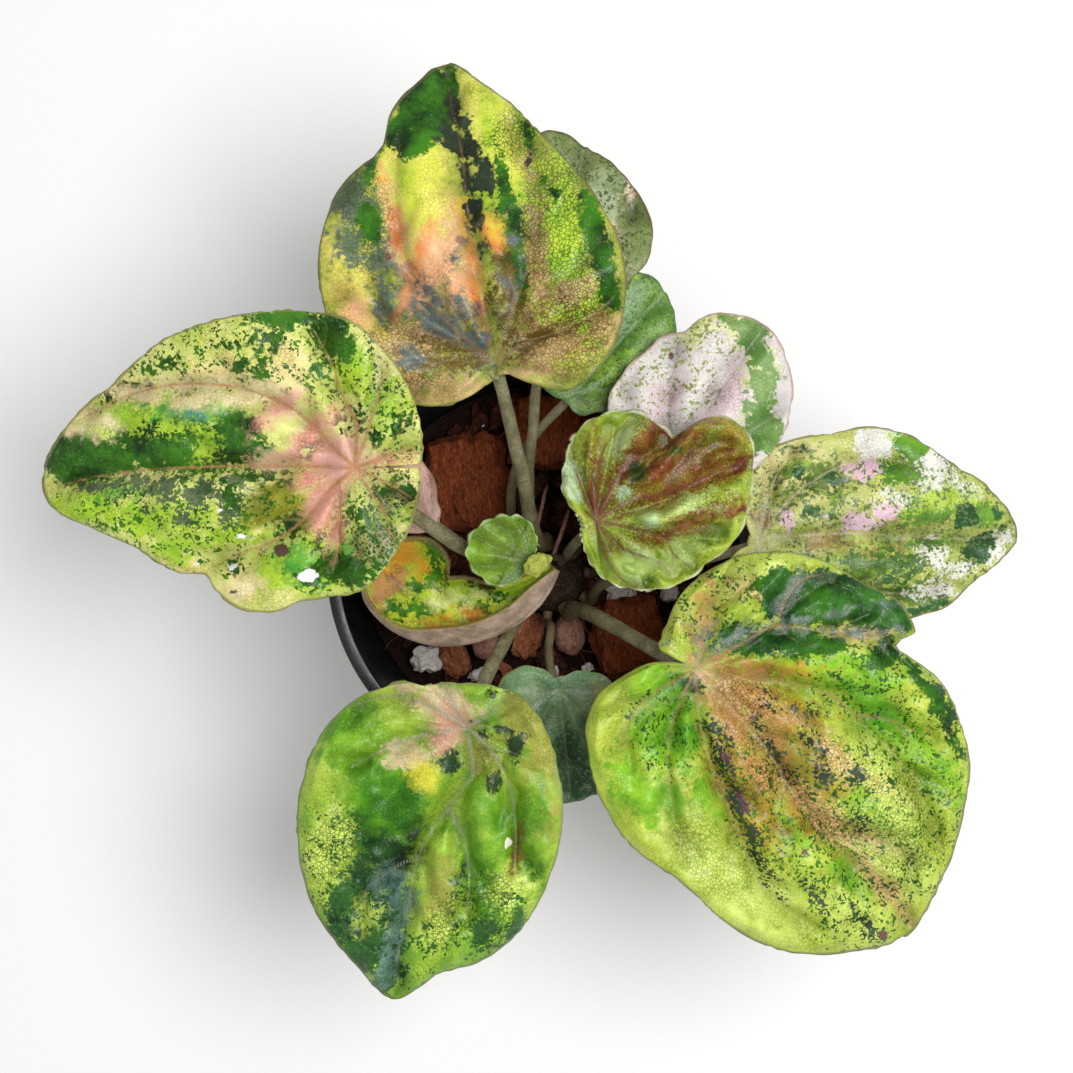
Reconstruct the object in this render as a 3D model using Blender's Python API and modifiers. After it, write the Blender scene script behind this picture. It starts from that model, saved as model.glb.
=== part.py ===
# Potted peperomia: a variegated house plant in a round black nursery pot, seen best from above.
# Every size below is in millimetres and SCALE turns it into metres. +Z is up, and the origin is the
# centre of the pot's underside. A blade is a height over its outline as it looks from VIEW_POINT.
import math

import bmesh
import bpy
import numpy as np
from mathutils import Vector, noise

SCALE = 0.001
GAP = 0.3

# Pot
POT_HEIGHT = 78.0
POT_RIM_RADIUS = 45.0
POT_BASE_RADIUS = 31.5
POT_WALL = 1.3
POT_FLOOR = 1.8
POT_LIP_HEIGHT = 3.5
POT_LIP_WIDTH = 1.6
POT_COLLAR_HEIGHT = 12.0
POT_COLLAR_STEP = 0.8
EDGE = 0.45
FOOT_EDGE = 1.0
POT_STEPS = 48
DRAIN_HOLES = 6
DRAIN_RADIUS = 3.5
DRAIN_RING = 21.0

# Bed of bark and coir, and the hole that the crown stands in
BED_LEVEL = 58.5
BED_RELIEF = 1.5
BED_LUMP = 6.0
BED_COLUMNS = 40
BED_RINGS = 8
BED_SIDE_DEPTH = 4.0
BED_SIDE_SLOPE = 0.6
SEAT_MARGIN = 4.5
SEAT_LEVEL = BED_LEVEL - 0.9
CROWN_CENTRE = (2.5, -3.0)
CROWN_RADIUS = 7.5
CROWN_DOME_LEVEL = 62.0
CROWN_DOME_HEIGHT = 9.0
CROWN_FOOT_LEVEL = 46.5
CROWN_FOOT = [(6.6, 58.0), (5.4, 54.0), (4.6, CROWN_FOOT_LEVEL), (0.0, CROWN_FOOT_LEVEL)]
CROWN_DOME_ANGLES = range(0, 100, 16)
CROWN_STEPS = 16
HOLE_RADIUS = 7.8

# Blades and stalks
BLADE_THICKNESS = 0.8
CENTIMETRE = 10.0
DROP_LENGTH = 15.0
DROP_POWER = 1.5
PUFF_END = 1.25
PUFF_GAIN = 2.0
FULL_REACH = 15.0
VIEW_POINT = (-0.74, 5.78, 528.0)
TOOTH_STEP = 2
SMALLEST_TOOTHED_REACH = 6.0
STALK_SIDES = 2
STALK_POINTS = 9
ROOT_LIFT = 0.3
ROOT_RUN = 3.0
END_GAP = 0.45
END_BEND = 0.12
END_DROP = 0.6
TAPER = 1.4

# Loose pieces: cuts across a block's sides (none makes a ball) and how rough each kind is
LUMP_CUTS = {"coir": 3, "bark": 2, "clay": 0, "perlite": 0}
LUMP_ROUGHNESS = {"coir": 0.3, "bark": 0.45, "clay": 0.12, "perlite": 0.35}
LUMP_CORNER = 1.15
LUMP_ROUNDING = 0.5
LUMP_GRAIN = 1.7
FIRST_SEED = 10.0
SEED_STEP = 3.0

# Loose pieces on the bed: kind, middle, half sizes and turn in degrees
LOOSE_PIECES = {
    "coir_chunk_left": ("coir", (-15.6, 17.5), (8.0, 9.6, 5.2), 8),
    "coir_chunk_back": ("coir", (1.5, 28.4), (7.8, 7.4, 4.6), -6),
    "coir_chunk_right": ("coir", (19.6, -16.4), (7.2, 7.6, 5.0), 12),
    "clay_pebble_front": ("clay", (6.4, -15.6), (3.4, 4.5, 3.3), 8),
    "clay_pebble_left": ("clay", (-11.5, -18.3), (3.2, 3.0, 2.8), 0),
    "bark_chip_front": ("bark", (-2.6, -15.9), (2.6, 4.4, 1.6), -18),
    "bark_chip_left": ("bark", (-18.6, -20.9), (2.5, 3.4, 1.5), 15),
    "bark_chip_small": ("bark", (-7.3, -23.6), (1.1, 1.7, 0.9), 40),
    "perlite_left": ("perlite", (-24.9, -20.9), (2.8, 2.6, 2.2), 0),
    "perlite_right": ("perlite", (17.6, -6.2), (2.9, 1.7, 1.6), 10),
    "perlite_far_right": ("perlite", (28.5, -6.6), (1.8, 1.6, 1.4), 0),
    "perlite_front_left": ("perlite", (-13.0, -24.3), (2.3, 1.1, 1.0), 20),
    "perlite_front": ("perlite", (2.9, -23.6), (1.1, 1.1, 0.9), 0),
    "perlite_front_right": ("perlite", (10.4, -23.0), (1.1, 0.9, 0.8), 30),
}

# Blades: where the stalk meets the blade, the heading of the tip in degrees from +X, the outline
# as (degrees from the tip direction, distance from the stalk), and the form of the surface:
# slope along the tip direction, roll to the left, arch and bow in mm per cm squared, fold in mm
# per mm off the midrib, wave (height, count, phase), drop of the basal lobes and puff between veins.
BLADES = {
    "leaf_back": {
        "stalk": (-8.7, 39.2, 118.0), "heading": 99.0,
        "outline": [(0, 58), (9, 54.5), (14, 51.5), (19, 46.5), (31, 45), (43, 42), (58, 36.5), (80, 29),
                    (109, 17.5), (131, 9.5), (150, 5), (190, 3), (219, 3.6), (230, 8), (239, 14.5),
                    (260, 20.5), (280, 26), (306, 33.5), (327, 39.6), (340, 45), (347, 49.6), (354, 54)],
        "form": {"slope": -0.05, "roll": -0.07, "arch": 0.42, "bow": 0.2, "fold": 0.06,
                 "wave": (1.6, 6, 20), "drop": 1.5, "puff": 1.3},
        "veins": [0, 36, 74, 122, -34, -72, -112]},
    "leaf_left": {
        "stalk": (-35.5, 18.9, 118.2), "heading": 181.8,
        "outline": [(0, 60), (5, 59), (11, 52), (18, 45), (29, 39.5), (34, 35.3), (38, 35.8), (48, 35),
                    (58, 32), (68, 27), (94, 23), (120, 17), (150, 13.5), (178.5, 12.5), (180, 2.8),
                    (181.5, 12.5), (199, 14), (228, 17.5), (252, 22.7), (270, 28.2), (298, 34.8),
                    (314, 40), (326, 45), (338, 48.7), (344, 52.3), (352, 57)],
        "form": {"slope": -0.06, "roll": -0.08, "arch": 0.34, "bow": 0.2, "fold": 0.05,
                 "wave": (1.4, 7, 60), "drop": 1.0, "puff": 1.3},
        "veins": [0, 32, 72, 128, -36, -76, -124]},
    "leaf_front_left": {
        "stalk": (-14.5, -31.9, 105.0), "heading": 254.5,
        "outline": [(0, 56), (5, 52.5), (9, 49.3), (18, 46.8), (30, 42), (39, 36.8), (52, 30.4),
                    (67, 24.4), (84, 19.3), (110, 15), (140, 12), (170, 9.3), (177, 8.8), (180, 2.6),
                    (183, 8.6), (204, 8.8), (218, 9.7), (240, 11.8), (249, 15), (265, 20.2),
                    (285.5, 28), (304, 34.4), (314, 38.3), (326, 43.2), (339, 48.2), (351, 52.3)],
        "form": {"slope": -0.04, "roll": 0.03, "arch": 0.38, "bow": 0.26, "fold": 0.05,
                 "wave": (1.5, 6, 100), "drop": 1.5, "puff": 1.4},
        "veins": [0, 34, 76, 126, -34, -74, -120]},
    "leaf_front_right": {
        "stalk": (30.6, -19.9, 110.0), "heading": 307.9,
        "outline": [(0, 66.5), (9, 64), (21, 60.3), (33, 56.4), (43, 51.5), (49, 47.8), (55, 41.8),
                    (59, 38.8), (61.5, 43.3), (68, 42.5), (79, 36.8), (92, 32.7), (110, 27),
                    (121, 23.7), (135, 19.5), (150, 15.8), (170, 11.7), (186, 9.8), (205, 8.5),
                    (214, 3), (226, 9.4), (237, 14), (248, 20.5), (269, 27), (287, 32.2), (302, 37.3),
                    (312, 40), (317, 41.6), (329, 50.4), (339, 57.9), (350, 63)],
        "form": {"slope": -0.02, "roll": -0.02, "arch": 0.32, "bow": 0.24, "fold": 0.04,
                 "wave": (1.6, 7, 40), "drop": 5.0, "puff": 1.6},
        "veins": [0, 33, 66, 118, -30, -66, -110]},
    "leaf_young_red": {
        "stalk": (10.9, 8.8, 107.5), "heading": 26.2,
        "outline": [(0, 34.7), (4, 35), (10, 34), (16, 31), (19, 27.5), (21, 22.7), (28, 22.9),
                    (37, 23.3), (53, 22.4), (71, 19.5), (90, 13.8), (112, 9.2), (134, 4.4), (165, 3.3),
                    (195, 4.2), (218, 5.9), (235, 8.5), (258, 13), (279, 16.9), (297, 20.9),
                    (314, 24.1), (327, 28.4), (338, 30.3), (349, 32.4)],
        "form": {"slope": 0.02, "roll": -0.04, "arch": 0.15, "bow": 0.1, "fold": 0.0,
                 "wave": (0.7, 9, 0), "drop": 3.0, "puff": 2.8, "teeth": (26, 0.5)},
        "veins": [-10, 20, 52, 84, 118, -42, -74, -112]},
    "leaf_white": {
        "stalk": (26.0, 20.7, 94.0), "heading": 55.0,
        "outline": [(0, 34.3), (14, 32.7), (22, 30.5), (28, 27), (38, 25.7), (45, 23.5), (60, 20.8),
                    (76, 18.3), (90, 15), (125, 10.5), (150, 7.5), (180, 4), (205, 5.5), (235, 8.5),
                    (265, 12), (290, 15), (304, 18.6), (315, 23), (329, 27.4), (344, 31.6)],
        "form": {"slope": 0.02, "roll": 0.0, "arch": 0.2, "bow": 0.12, "fold": 0.03,
                 "wave": (1.1, 5, 70), "drop": 0.5, "puff": 0.9},
        "veins": [0, 38, 80, -38, -80]},
    "leaf_right": {
        "stalk": (44.4, 4.0, 90.0), "heading": 2.0,
        "outline": [(0, 53.5), (5, 52.4), (10, 50), (16, 46.6), (21, 43.3), (29, 40.5), (41, 35.3),
                    (56, 27.1), (75, 21.3), (88, 18), (102, 13), (114, 6), (122, 2.6), (180, 2.2),
                    (198, 5), (220, 9), (245, 13.5), (270, 18), (292, 22), (312, 27), (328, 32.5),
                    (335, 36.5), (340, 40.9), (347, 44.3), (355, 50.5)],
        "form": {"slope": 0.0, "roll": -0.03, "arch": 0.34, "bow": 0.22, "fold": 0.05,
                 "wave": (1.2, 6, 10), "drop": 0.5, "puff": 1.1},
        "veins": [0, 34, 70, -32, -66, -108]},
    "leaf_back_grey": {
        "stalk": (3.4, 53.1, 100.0), "heading": 80.0,
        "outline": [(0, 31.5), (12, 34.2), (20, 33.6), (30, 31), (56, 24), (90, 18), (130, 10.5),
                    (150, 7), (175, 3.5), (200, 4.5), (225, 8), (260, 11.5), (285, 13.5), (296, 16),
                    (304, 20), (315, 23.5), (330, 26.3), (345, 29.1)],
        "form": {"slope": -0.06, "roll": 0.0, "arch": 0.25, "bow": 0.15, "fold": 0.03,
                 "wave": (0.9, 5, 0), "drop": 0.5, "puff": 0.9},
        "veins": [0, 38, 80, -38, -80]},
    "leaf_back_green": {
        "stalk": (6.6, 34.7, 90.0), "heading": 48.4,
        "outline": [(0, 28.8), (8, 29.5), (12, 28.9), (20, 28), (42, 23), (70, 16), (100, 9.5),
                    (130, 4.5), (160, 2.2), (200, 2.2), (225, 3.2), (250, 4.7), (277, 6.2), (290, 9),
                    (308, 14.5), (325, 20), (337, 23.5), (351, 27.2)],
        "form": {"slope": -0.06, "roll": 0.0, "arch": 0.25, "bow": 0.15, "fold": 0.02,
                 "wave": (0.8, 4, 30), "drop": 0.3, "puff": 0.7},
        "veins": [0, 40, 84, -40, -84]},
    "leaf_front_small": {
        "stalk": (3.9, -25.8, 88.0), "heading": 276.6,
        "outline": [(0, 23.5), (13, 23), (27, 20.5), (55, 15.5), (85, 11.5), (104, 9.4), (124, 6.4),
                    (154, 3.3), (170, 3.1), (190, 3), (210, 5.6), (232, 9.4), (249, 11.6), (262, 12.6),
                    (300, 16), (330, 20), (350, 23.2)],
        "form": {"slope": -0.05, "roll": 0.0, "arch": 0.3, "bow": 0.2, "fold": 0.03,
                 "wave": (0.7, 5, 0), "drop": 0.5, "puff": 0.7},
        "veins": [0, 40, 84, -40, -84]},
    "leaf_new_toothed": {
        "stalk": (-2.9, 0.7, 101.0), "heading": 154.0,
        "outline": [(0, 12.5), (12, 12.5), (23, 12), (35, 10.8), (50, 9.2), (64, 8), (83, 5.5),
                    (104, 3), (125, 2), (160, 1.6), (200, 1.6), (240, 2.1), (259, 4.2), (273, 5.8),
                    (286, 7.5), (301, 9.4), (316, 10.3), (331, 11.1), (346, 12)],
        "form": {"slope": -0.03, "roll": 0.0, "arch": -1.2, "bow": -1.2, "fold": 0.0,
                 "wave": (0.4, 7, 0), "drop": 0.0, "puff": 0.6, "teeth": (20, 0.5)},
        "veins": [0, 36, 76, -36, -76]},
    "leaf_low_pink": {
        "stalk": (-22.6, 9.2, 89.8), "heading": 122.0,
        "outline": [(0, 18), (15, 17.5), (30, 14.5), (50, 10.5), (75, 7), (100, 4.5), (130, 3), (160, 2.2),
                    (200, 2), (240, 2), (280, 3.2), (307, 4.5), (322, 8.4), (335, 12.1), (350, 15.7)],
        "form": {"slope": -0.03, "roll": 0.0, "arch": 0.3, "bow": 0.3, "fold": 0.02,
                 "wave": (0.5, 5, 0), "drop": 0.2, "puff": 0.5},
        "veins": [0, 44, -40]},
}
COLUMN_SPACING = {"leaf_back": 11, "leaf_left": 11, "leaf_front_left": 11, "leaf_front_right": 11}
COLUMN_SPACING_SMALL = 16
RINGS = {"leaf_back": 6, "leaf_left": 6, "leaf_front_left": 6, "leaf_front_right": 6,
         "leaf_young_red": 6, "leaf_new_toothed": 4, "leaf_low_pink": 3}
RINGS_SMALL = 5

# The curled blade, from its right end to its left end: back edge, front bulge and front margin,
# the valley between them lies VALLEY_DEPTH under the lower of the two edges
CURLED_STATIONS = [
    ((2.2, -0.2, 89.4), (3.3, -1.0, 88.8), (2.8, -0.5, 90.2)),
    ((-1.0, -1.6, 89.0), (1.8, -4.4, 88.6), (0.4, -2.3, 91.2)),
    ((-4.5, -2.8, 88.6), (-1.0, -8.3, 88.2), (-2.1, -4.2, 92.0)),
    ((-9.5, -4.2, 88.2), (-5.6, -12.0, 87.8), (-7.0, -8.4, 92.4)),
    ((-15.2, -2.6, 88.0), (-11.7, -14.9, 87.4), (-14.1, -11.6, 92.2)),
    ((-19.1, -2.3, 88.0), (-18.5, -16.1, 87.0), (-21.2, -12.6, 91.8)),
    ((-19.3, 1.8, 89.4), (-24.3, -15.5, 86.8), (-27.4, -12.6, 91.0)),
    ((-22.6, 5.0, 89.8), (-30.4, -12.8, 86.6), (-32.4, -9.9, 90.4)),
    ((-27.7, 5.2, 89.6), (-35.2, -7.9, 86.4), (-35.6, -5.4, 89.8)),
    ((-31.9, 3.4, 89.0), (-36.4, -3.2, 86.6), (-35.8, -1.1, 89.2)),
]
CURLED_VALLEY_DEPTH = 3.6
CURLED_FULL_WIDTH = 14.0
CURLED_VALLEY_SHARE = 0.45
CURLED_FOOT_SHARE = 0.85
CURLED_FOOT_RISE = 0.35
CURLED_ACROSS = 9
CURLED_ALONG = 15

# The unopened bud
BUD = {"middle": (-0.5, 0.3, 104.4), "half_sizes": (2.7, 2.1, 1.5), "turn": 35, "roughness": 0.1, "seed": 2.0}

# Stalks: where each leaves the crown (azimuth and angle off the top, degrees), the points that it
# passes, what it carries, and its radius at the crown and at the blade
STALKS = {
    "stalk_back": ((100, 50), [(0.0, 4.0, 77), (-1.87, 9.2, 88), (-3.3, 17.1, 98), (-5.2, 24.8, 106.5),
                              (-6.9, 32.2, 112)], "leaf_back", (1.75, 1.3)),
    "stalk_left": ((172, 36), [(-6.3, -0.4, 83), (-15.2, 3.3, 95), (-24.3, 9.6, 106), (-31.1, 15.2, 112)],
                   "leaf_left", (1.65, 1.4)),
    "stalk_front_left": ((232, 64), [(-4.4, -10.7, 77.5), (-8.2, -17.5, 88), (-11.5, -23.9, 96)],
                         "leaf_front_left", (1.65, 1.4)),
    "stalk_front_right": ((296, 52), [(7.4, -9.6, 74), (12.4, -11.2, 84), (22.5, -16.6, 98),
                                      (27.4, -18.9, 104)], "leaf_front_right", (1.75, 1.5)),
    "stalk_young_red": ((48, 50), [(5.7, 1.8, 79), (6.8, 4.0, 92), (8.7, 6.2, 99.5)],
                        "leaf_young_red", (1.1, 0.95)),
    "stalk_white": ((8, 62), [(14.5, 4.4, 80), (22.4, 13.4, 86)], "leaf_white", (1.2, 1.0)),
    "stalk_right": ((330, 66), [(14.0, -3.9, 76), (28.8, -0.4, 82)], "leaf_right", (1.3, 1.1)),
    "stalk_back_grey": ((128, 66), [(-2.8, 7.0, 75), (-2.2, 13.2, 82), (-2.2, 20.2, 87), (-1.5, 27.2, 91),
                                    (-0.5, 37.5, 95)], "leaf_back_grey", (1.2, 1.05)),
    "stalk_back_green": ((150, 68), [(-5.8, 7.0, 72), (-6.1, 14.8, 77), (-4.2, 22.0, 81.5),
                                     (0.0, 28.0, 84.5)], "leaf_back_green", (1.1, 0.95)),
    "stalk_front_small": ((264, 68), [(2.3, -13.5, 71.5), (1.8, -18.0, 76), (2.4, -22.4, 81.5)],
                          "leaf_front_small", (1.0, 0.9)),
    "stalk_new_toothed": ((120, 20), [(-0.6, -0.6, 82), (-2.2, 0.2, 92)], "leaf_new_toothed", (0.9, 0.75)),
    "stalk_low_pink": ((176, 68), [(-7.4, 0.6, 75), (-15.4, 4.0, 82)], "leaf_low_pink", (1.0, 0.85)),
    "stalk_curled": ((202, 68), [(-8.5, -6.0, 74), (-14.5, -5.6, 78)], "leaf_curled", (1.2, 1.05)),
    "stalk_bud": ((58, 26), [(2.4, 1.4, 79), (1.0, 1.5, 90), (0.0, 1.0, 98)], "leaf_bud", (0.8, 0.5)),
}
CURLED_STALK_END = (-17.6, -5.4, 83.3)

COLOURS = {
    "pot_plastic": ((0.012, 0.012, 0.014), 0.4),
    "bed_mix": ((0.045, 0.018, 0.010), 0.95),
    "coir": ((0.14, 0.045, 0.018), 0.95),
    "clay": ((0.16, 0.075, 0.055), 0.8),
    "bark": ((0.20, 0.085, 0.045), 0.85),
    "perlite": ((0.42, 0.38, 0.36), 0.9),
    "crown": ((0.08, 0.06, 0.03), 0.8),
    "stalk": ((0.20, 0.17, 0.07), 0.5),
    "blade": ((0.42, 0.50, 0.12), 0.45),
    "blade_white": ((0.66, 0.62, 0.56), 0.45),
    "blade_plain": ((0.16, 0.30, 0.09), 0.45),
    "blade_dark": ((0.07, 0.17, 0.10), 0.45),
    "blade_young": ((0.30, 0.36, 0.05), 0.4),
    "blade_pink": ((0.50, 0.33, 0.28), 0.45),
}
BLADE_COLOURS = {
    "leaf_white": "blade_white", "leaf_back_green": "blade_plain", "leaf_back_grey": "blade_plain",
    "leaf_front_small": "blade_dark", "leaf_young_red": "blade_young", "leaf_new_toothed": "blade_young",
    "leaf_low_pink": "blade_pink",
}


def clear_scene():
    for thing in list(bpy.data.objects):
        bpy.data.objects.remove(thing, do_unlink=True)


def new_collection(name):
    collection = bpy.data.collections.new(name)
    bpy.context.scene.collection.children.link(collection)
    return collection


def get_material(name):
    found = bpy.data.materials.get(name)
    if found:
        return found
    colour, roughness = COLOURS[name]
    created = bpy.data.materials.new(name)
    created.use_nodes = True
    shader = created.node_tree.nodes["Principled BSDF"]
    shader.inputs["Base Color"].default_value = (*colour, 1.0)
    shader.inputs["Roughness"].default_value = roughness
    shader.inputs["Metallic"].default_value = 0.0
    created.diffuse_color = (*colour, 1.0)
    return created


def add_object(name, data, colour, collection):
    created = bpy.data.objects.new(name, data)
    data.materials.append(get_material(colour))
    collection.objects.link(created)
    return created


def mesh_from_bmesh(name, shape):
    bmesh.ops.triangulate(shape, faces=[face for face in shape.faces if len(face.verts) > 3])
    mesh = bpy.data.meshes.new(name)
    shape.to_mesh(mesh)
    shape.free()
    mesh.shade_smooth()
    return mesh


def add_turned(name, profile, steps, colour, collection):
    """A profile of (radius, height) turned about the vertical axis."""
    mesh = bpy.data.meshes.new(name)
    points = [(radius * SCALE, 0.0, height * SCALE) for radius, height in profile]
    mesh.from_pydata(points, [(i, i + 1) for i in range(len(points) - 1)], [])
    turned = add_object(name, mesh, colour, collection)
    screw = turned.modifiers.new("turn", "SCREW")
    screw.steps = steps
    screw.render_steps = steps
    screw.use_merge_vertices = True
    screw.merge_threshold = 0.00001
    screw.use_smooth_shade = True
    return turned


def outline_radius(blade, degrees):
    """Distance from the stalk to the margin, a monotone cubic through the outline's points."""
    angles = np.array([point[0] for point in blade["outline"]], dtype=float)
    reach = np.array([point[1] for point in blade["outline"]], dtype=float)
    angles = np.concatenate([angles[-2:] - 360.0, angles, angles[:3] + 360.0])
    reach = np.concatenate([reach[-2:], reach, reach[:3]])
    span = np.diff(angles)
    rise = np.diff(reach) / span
    same_way = rise[:-1] * rise[1:] > 0
    total = np.where(same_way, rise[:-1] + rise[1:], 1.0)
    tangent = np.where(same_way, 2.0 * rise[:-1] * rise[1:] / total, 0.0)
    tangent = np.concatenate([[0.0], tangent, [0.0]])
    degrees = np.mod(np.asarray(degrees, dtype=float), 360.0)
    left = np.clip(np.searchsorted(angles, degrees, side="right") - 1, 0, len(span) - 1)
    width = span[left]
    t = (degrees - angles[left]) / width
    value = (2 * t**3 - 3 * t**2 + 1) * reach[left] + (t**3 - 2 * t**2 + t) * width * tangent[left]
    value += (-2 * t**3 + 3 * t**2) * reach[left + 1] + (t**3 - t**2) * width * tangent[left + 1]
    return value


def between_veins(veins, degrees):
    """0 on a main vein and 1 halfway to the next one."""
    ordered = np.sort(np.mod(np.array(veins, dtype=float), 360.0))
    ordered = np.concatenate([[ordered[-1] - 360.0], ordered, [ordered[0] + 360.0]])
    degrees = np.mod(degrees, 360.0)
    left = np.searchsorted(ordered, degrees, side="right") - 1
    share = (degrees - ordered[left]) / (ordered[left + 1] - ordered[left])
    return np.sin(math.pi * share)


def blade_height(blade, degrees, reach, edge):
    """Height over the stalk's end, from the slopes, bends, folds and waves of the blade's form."""
    form = blade["form"]
    turn = np.radians(degrees)
    distance = reach * edge
    fullness = np.minimum(reach / FULL_REACH, 1.0)
    along = distance * np.cos(turn)
    across = distance * np.sin(turn)
    ahead = np.maximum(along, 0.0)
    behind = np.maximum(-along, 0.0)
    height = form["slope"] * along + form["roll"] * across + form["fold"] * np.abs(across)
    height -= form["arch"] * (ahead / CENTIMETRE) ** 2 + form["bow"] * (across / CENTIMETRE) ** 2
    height -= form["drop"] * (behind / DROP_LENGTH) ** DROP_POWER
    wave_height, wave_count, wave_phase = form["wave"]
    height += fullness * wave_height * edge**2 * np.sin(wave_count * turn + math.radians(wave_phase))
    puffing = fullness * PUFF_GAIN * edge * (PUFF_END - edge)
    height += form["puff"] * between_veins(blade["veins"], degrees) * puffing
    return height


def blade_point(blade, degrees, edge, reach):
    """World point of a blade at a share (edge) of the way from the stalk to the margin (reach)."""
    start = np.array(blade["stalk"])
    distance = reach * edge
    turn = np.radians(degrees + blade["heading"])
    height = start[2] + blade_height(blade, degrees, reach, edge)
    spread = (VIEW_POINT[2] - height) / (VIEW_POINT[2] - start[2])
    x = VIEW_POINT[0] + (start[0] + distance * np.cos(turn) - VIEW_POINT[0]) * spread
    y = VIEW_POINT[1] + (start[1] + distance * np.sin(turn) - VIEW_POINT[1]) * spread
    return np.stack([x, y, height], axis=-1)


def blade_columns(name, blade):
    """The outline's own angles, with more between them where they stand far apart."""
    teeth = blade["form"].get("teeth")
    if teeth:
        return np.arange(teeth[0] * TOOTH_STEP) * 360.0 / (teeth[0] * TOOTH_STEP)
    spacing = COLUMN_SPACING.get(name, COLUMN_SPACING_SMALL)
    stations = [point[0] for point in blade["outline"]]
    columns = []
    for angle, following in zip(stations, stations[1:] + [stations[0] + 360]):
        parts = max(1, round((following - angle) / spacing))
        columns += [angle + (following - angle) * step / parts for step in range(parts)]
    return np.array(columns)


def blade_surface(name, blade):
    """The open upper face: rings of points round the stalk's end."""
    columns = blade_columns(name, blade)
    reach = outline_radius(blade, columns)
    teeth = blade["form"].get("teeth")
    if teeth:
        notched = (np.arange(len(columns)) % TOOTH_STEP != 0) & (reach > SMALLEST_TOOTHED_REACH)
        reach = np.where(notched, reach - teeth[1], reach)
    rings = RINGS.get(name, RINGS_SMALL)
    shape = bmesh.new()
    centre = shape.verts.new([value * SCALE for value in blade["stalk"]])
    rows = []
    for ring in range(1, rings + 1):
        points = blade_point(blade, columns, ring / rings, reach) * SCALE
        rows.append([shape.verts.new(point) for point in points.tolist()])
    count = len(columns)
    for j in range(count):
        k = (j + 1) % count
        shape.faces.new((centre, rows[0][j], rows[0][k]))
        for inner, outer in zip(rows, rows[1:]):
            shape.faces.new((inner[j], outer[j], outer[k]))
            shape.faces.new((inner[j], outer[k], inner[k]))
    return mesh_from_bmesh(name, shape)


def add_sheet(name, mesh, colour, collection):
    """An open surface made solid downwards, so that both faces share one split into triangles."""
    sheet = add_object(name, mesh, colour, collection)
    solidify = sheet.modifiers.new("thickness", "SOLIDIFY")
    solidify.thickness = BLADE_THICKNESS * SCALE
    solidify.offset = -1.0
    return sheet


def smooth_path(points, count):
    """Points on a Catmull-Rom curve through the given ones, evenly spread between them."""
    points = np.array(points, dtype=float)
    padded = np.vstack([2 * points[0] - points[1], points, 2 * points[-1] - points[-2]])
    path = []
    for share in np.linspace(0.0, len(points) - 1.0, count):
        i = min(int(share), len(points) - 2)
        t = share - i
        a, b, c, d = padded[i:i + 4]
        path.append(0.5 * (2 * b + (c - a) * t + (2 * a - 5 * b + 4 * c - d) * t**2
                           + (3 * b - a - 3 * c + d) * t**3))
    return np.array(path)


def curled_section(station):
    """Five points across the curled blade: back edge, valley, foot, bulge and margin."""
    back, bulge, margin = (np.array(point) for point in station)
    width = np.linalg.norm(bulge[:2] - back[:2])
    low = min(back[2], bulge[2]) - CURLED_VALLEY_DEPTH * width / CURLED_FULL_WIDTH
    valley = back + (bulge - back) * CURLED_VALLEY_SHARE
    foot = back + (bulge - back) * CURLED_FOOT_SHARE
    valley[2] = low
    foot[2] = low + CURLED_FOOT_RISE * (bulge[2] - low)
    return [back, valley, foot, bulge, margin]


def curled_surface(name):
    sections = [smooth_path(curled_section(station), CURLED_ACROSS) for station in CURLED_STATIONS]
    lines = [smooth_path([section[i] for section in sections], CURLED_ALONG) for i in range(CURLED_ACROSS)]
    shape = bmesh.new()
    rows = [[shape.verts.new((point * SCALE).tolist()) for point in line] for line in lines]
    for near, far in zip(rows, rows[1:]):
        for i in range(CURLED_ALONG - 1):
            shape.faces.new((near[i], near[i + 1], far[i + 1]))
            shape.faces.new((near[i], far[i + 1], far[i]))
    return mesh_from_bmesh(name, shape)


def add_lump(name, half_sizes, turn, roughness, cuts, seed, colour, collection):
    """A stone, chip or chunk: a rounded block (cuts > 0) or ball whose surface noise pushes about."""
    shape = bmesh.new()
    if cuts:
        bmesh.ops.create_cube(shape, size=2.0)
        bmesh.ops.subdivide_edges(shape, edges=shape.edges[:], cuts=cuts, use_grid_fill=True)
    else:
        bmesh.ops.create_icosphere(shape, subdivisions=2, radius=1.0)
    for vert in shape.verts:
        rounded = vert.co.normalized() * LUMP_CORNER if cuts else vert.co
        place = vert.co.lerp(rounded, LUMP_ROUNDING)
        push = 1.0 + roughness * noise.noise(place * LUMP_GRAIN + Vector((seed, 0.0, 0.0)))
        vert.co = Vector([part * push * half * SCALE for part, half in zip(place, half_sizes)])
    lump = add_object(name, mesh_from_bmesh(name, shape), colour, collection)
    lump.rotation_euler = (0.0, 0.0, math.radians(turn))
    return lump


def ground(x, y):
    """Height of the bed: noise, pressed flat under each loose piece and round the crown."""
    height = BED_LEVEL + BED_RELIEF * noise.noise(Vector((x / BED_LUMP, y / BED_LUMP, 0.0)))
    pressed = [(middle, max(half_sizes[:2])) for kind, middle, half_sizes, turn in LOOSE_PIECES.values()]
    for middle, radius in pressed + [(CROWN_CENTRE, HOLE_RADIUS - SEAT_MARGIN)]:
        away = math.dist((x, y), middle) - radius
        height += (SEAT_LEVEL - height) * min(max(2.0 - away / SEAT_MARGIN, 0.0), 1.0)
    return height


def pot_inner_radius(height):
    share = (height - POT_FLOOR) / (POT_HEIGHT - POT_FLOOR)
    return POT_BASE_RADIUS + share * (POT_RIM_RADIUS - POT_LIP_WIDTH - POT_BASE_RADIUS) - POT_WALL


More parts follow.
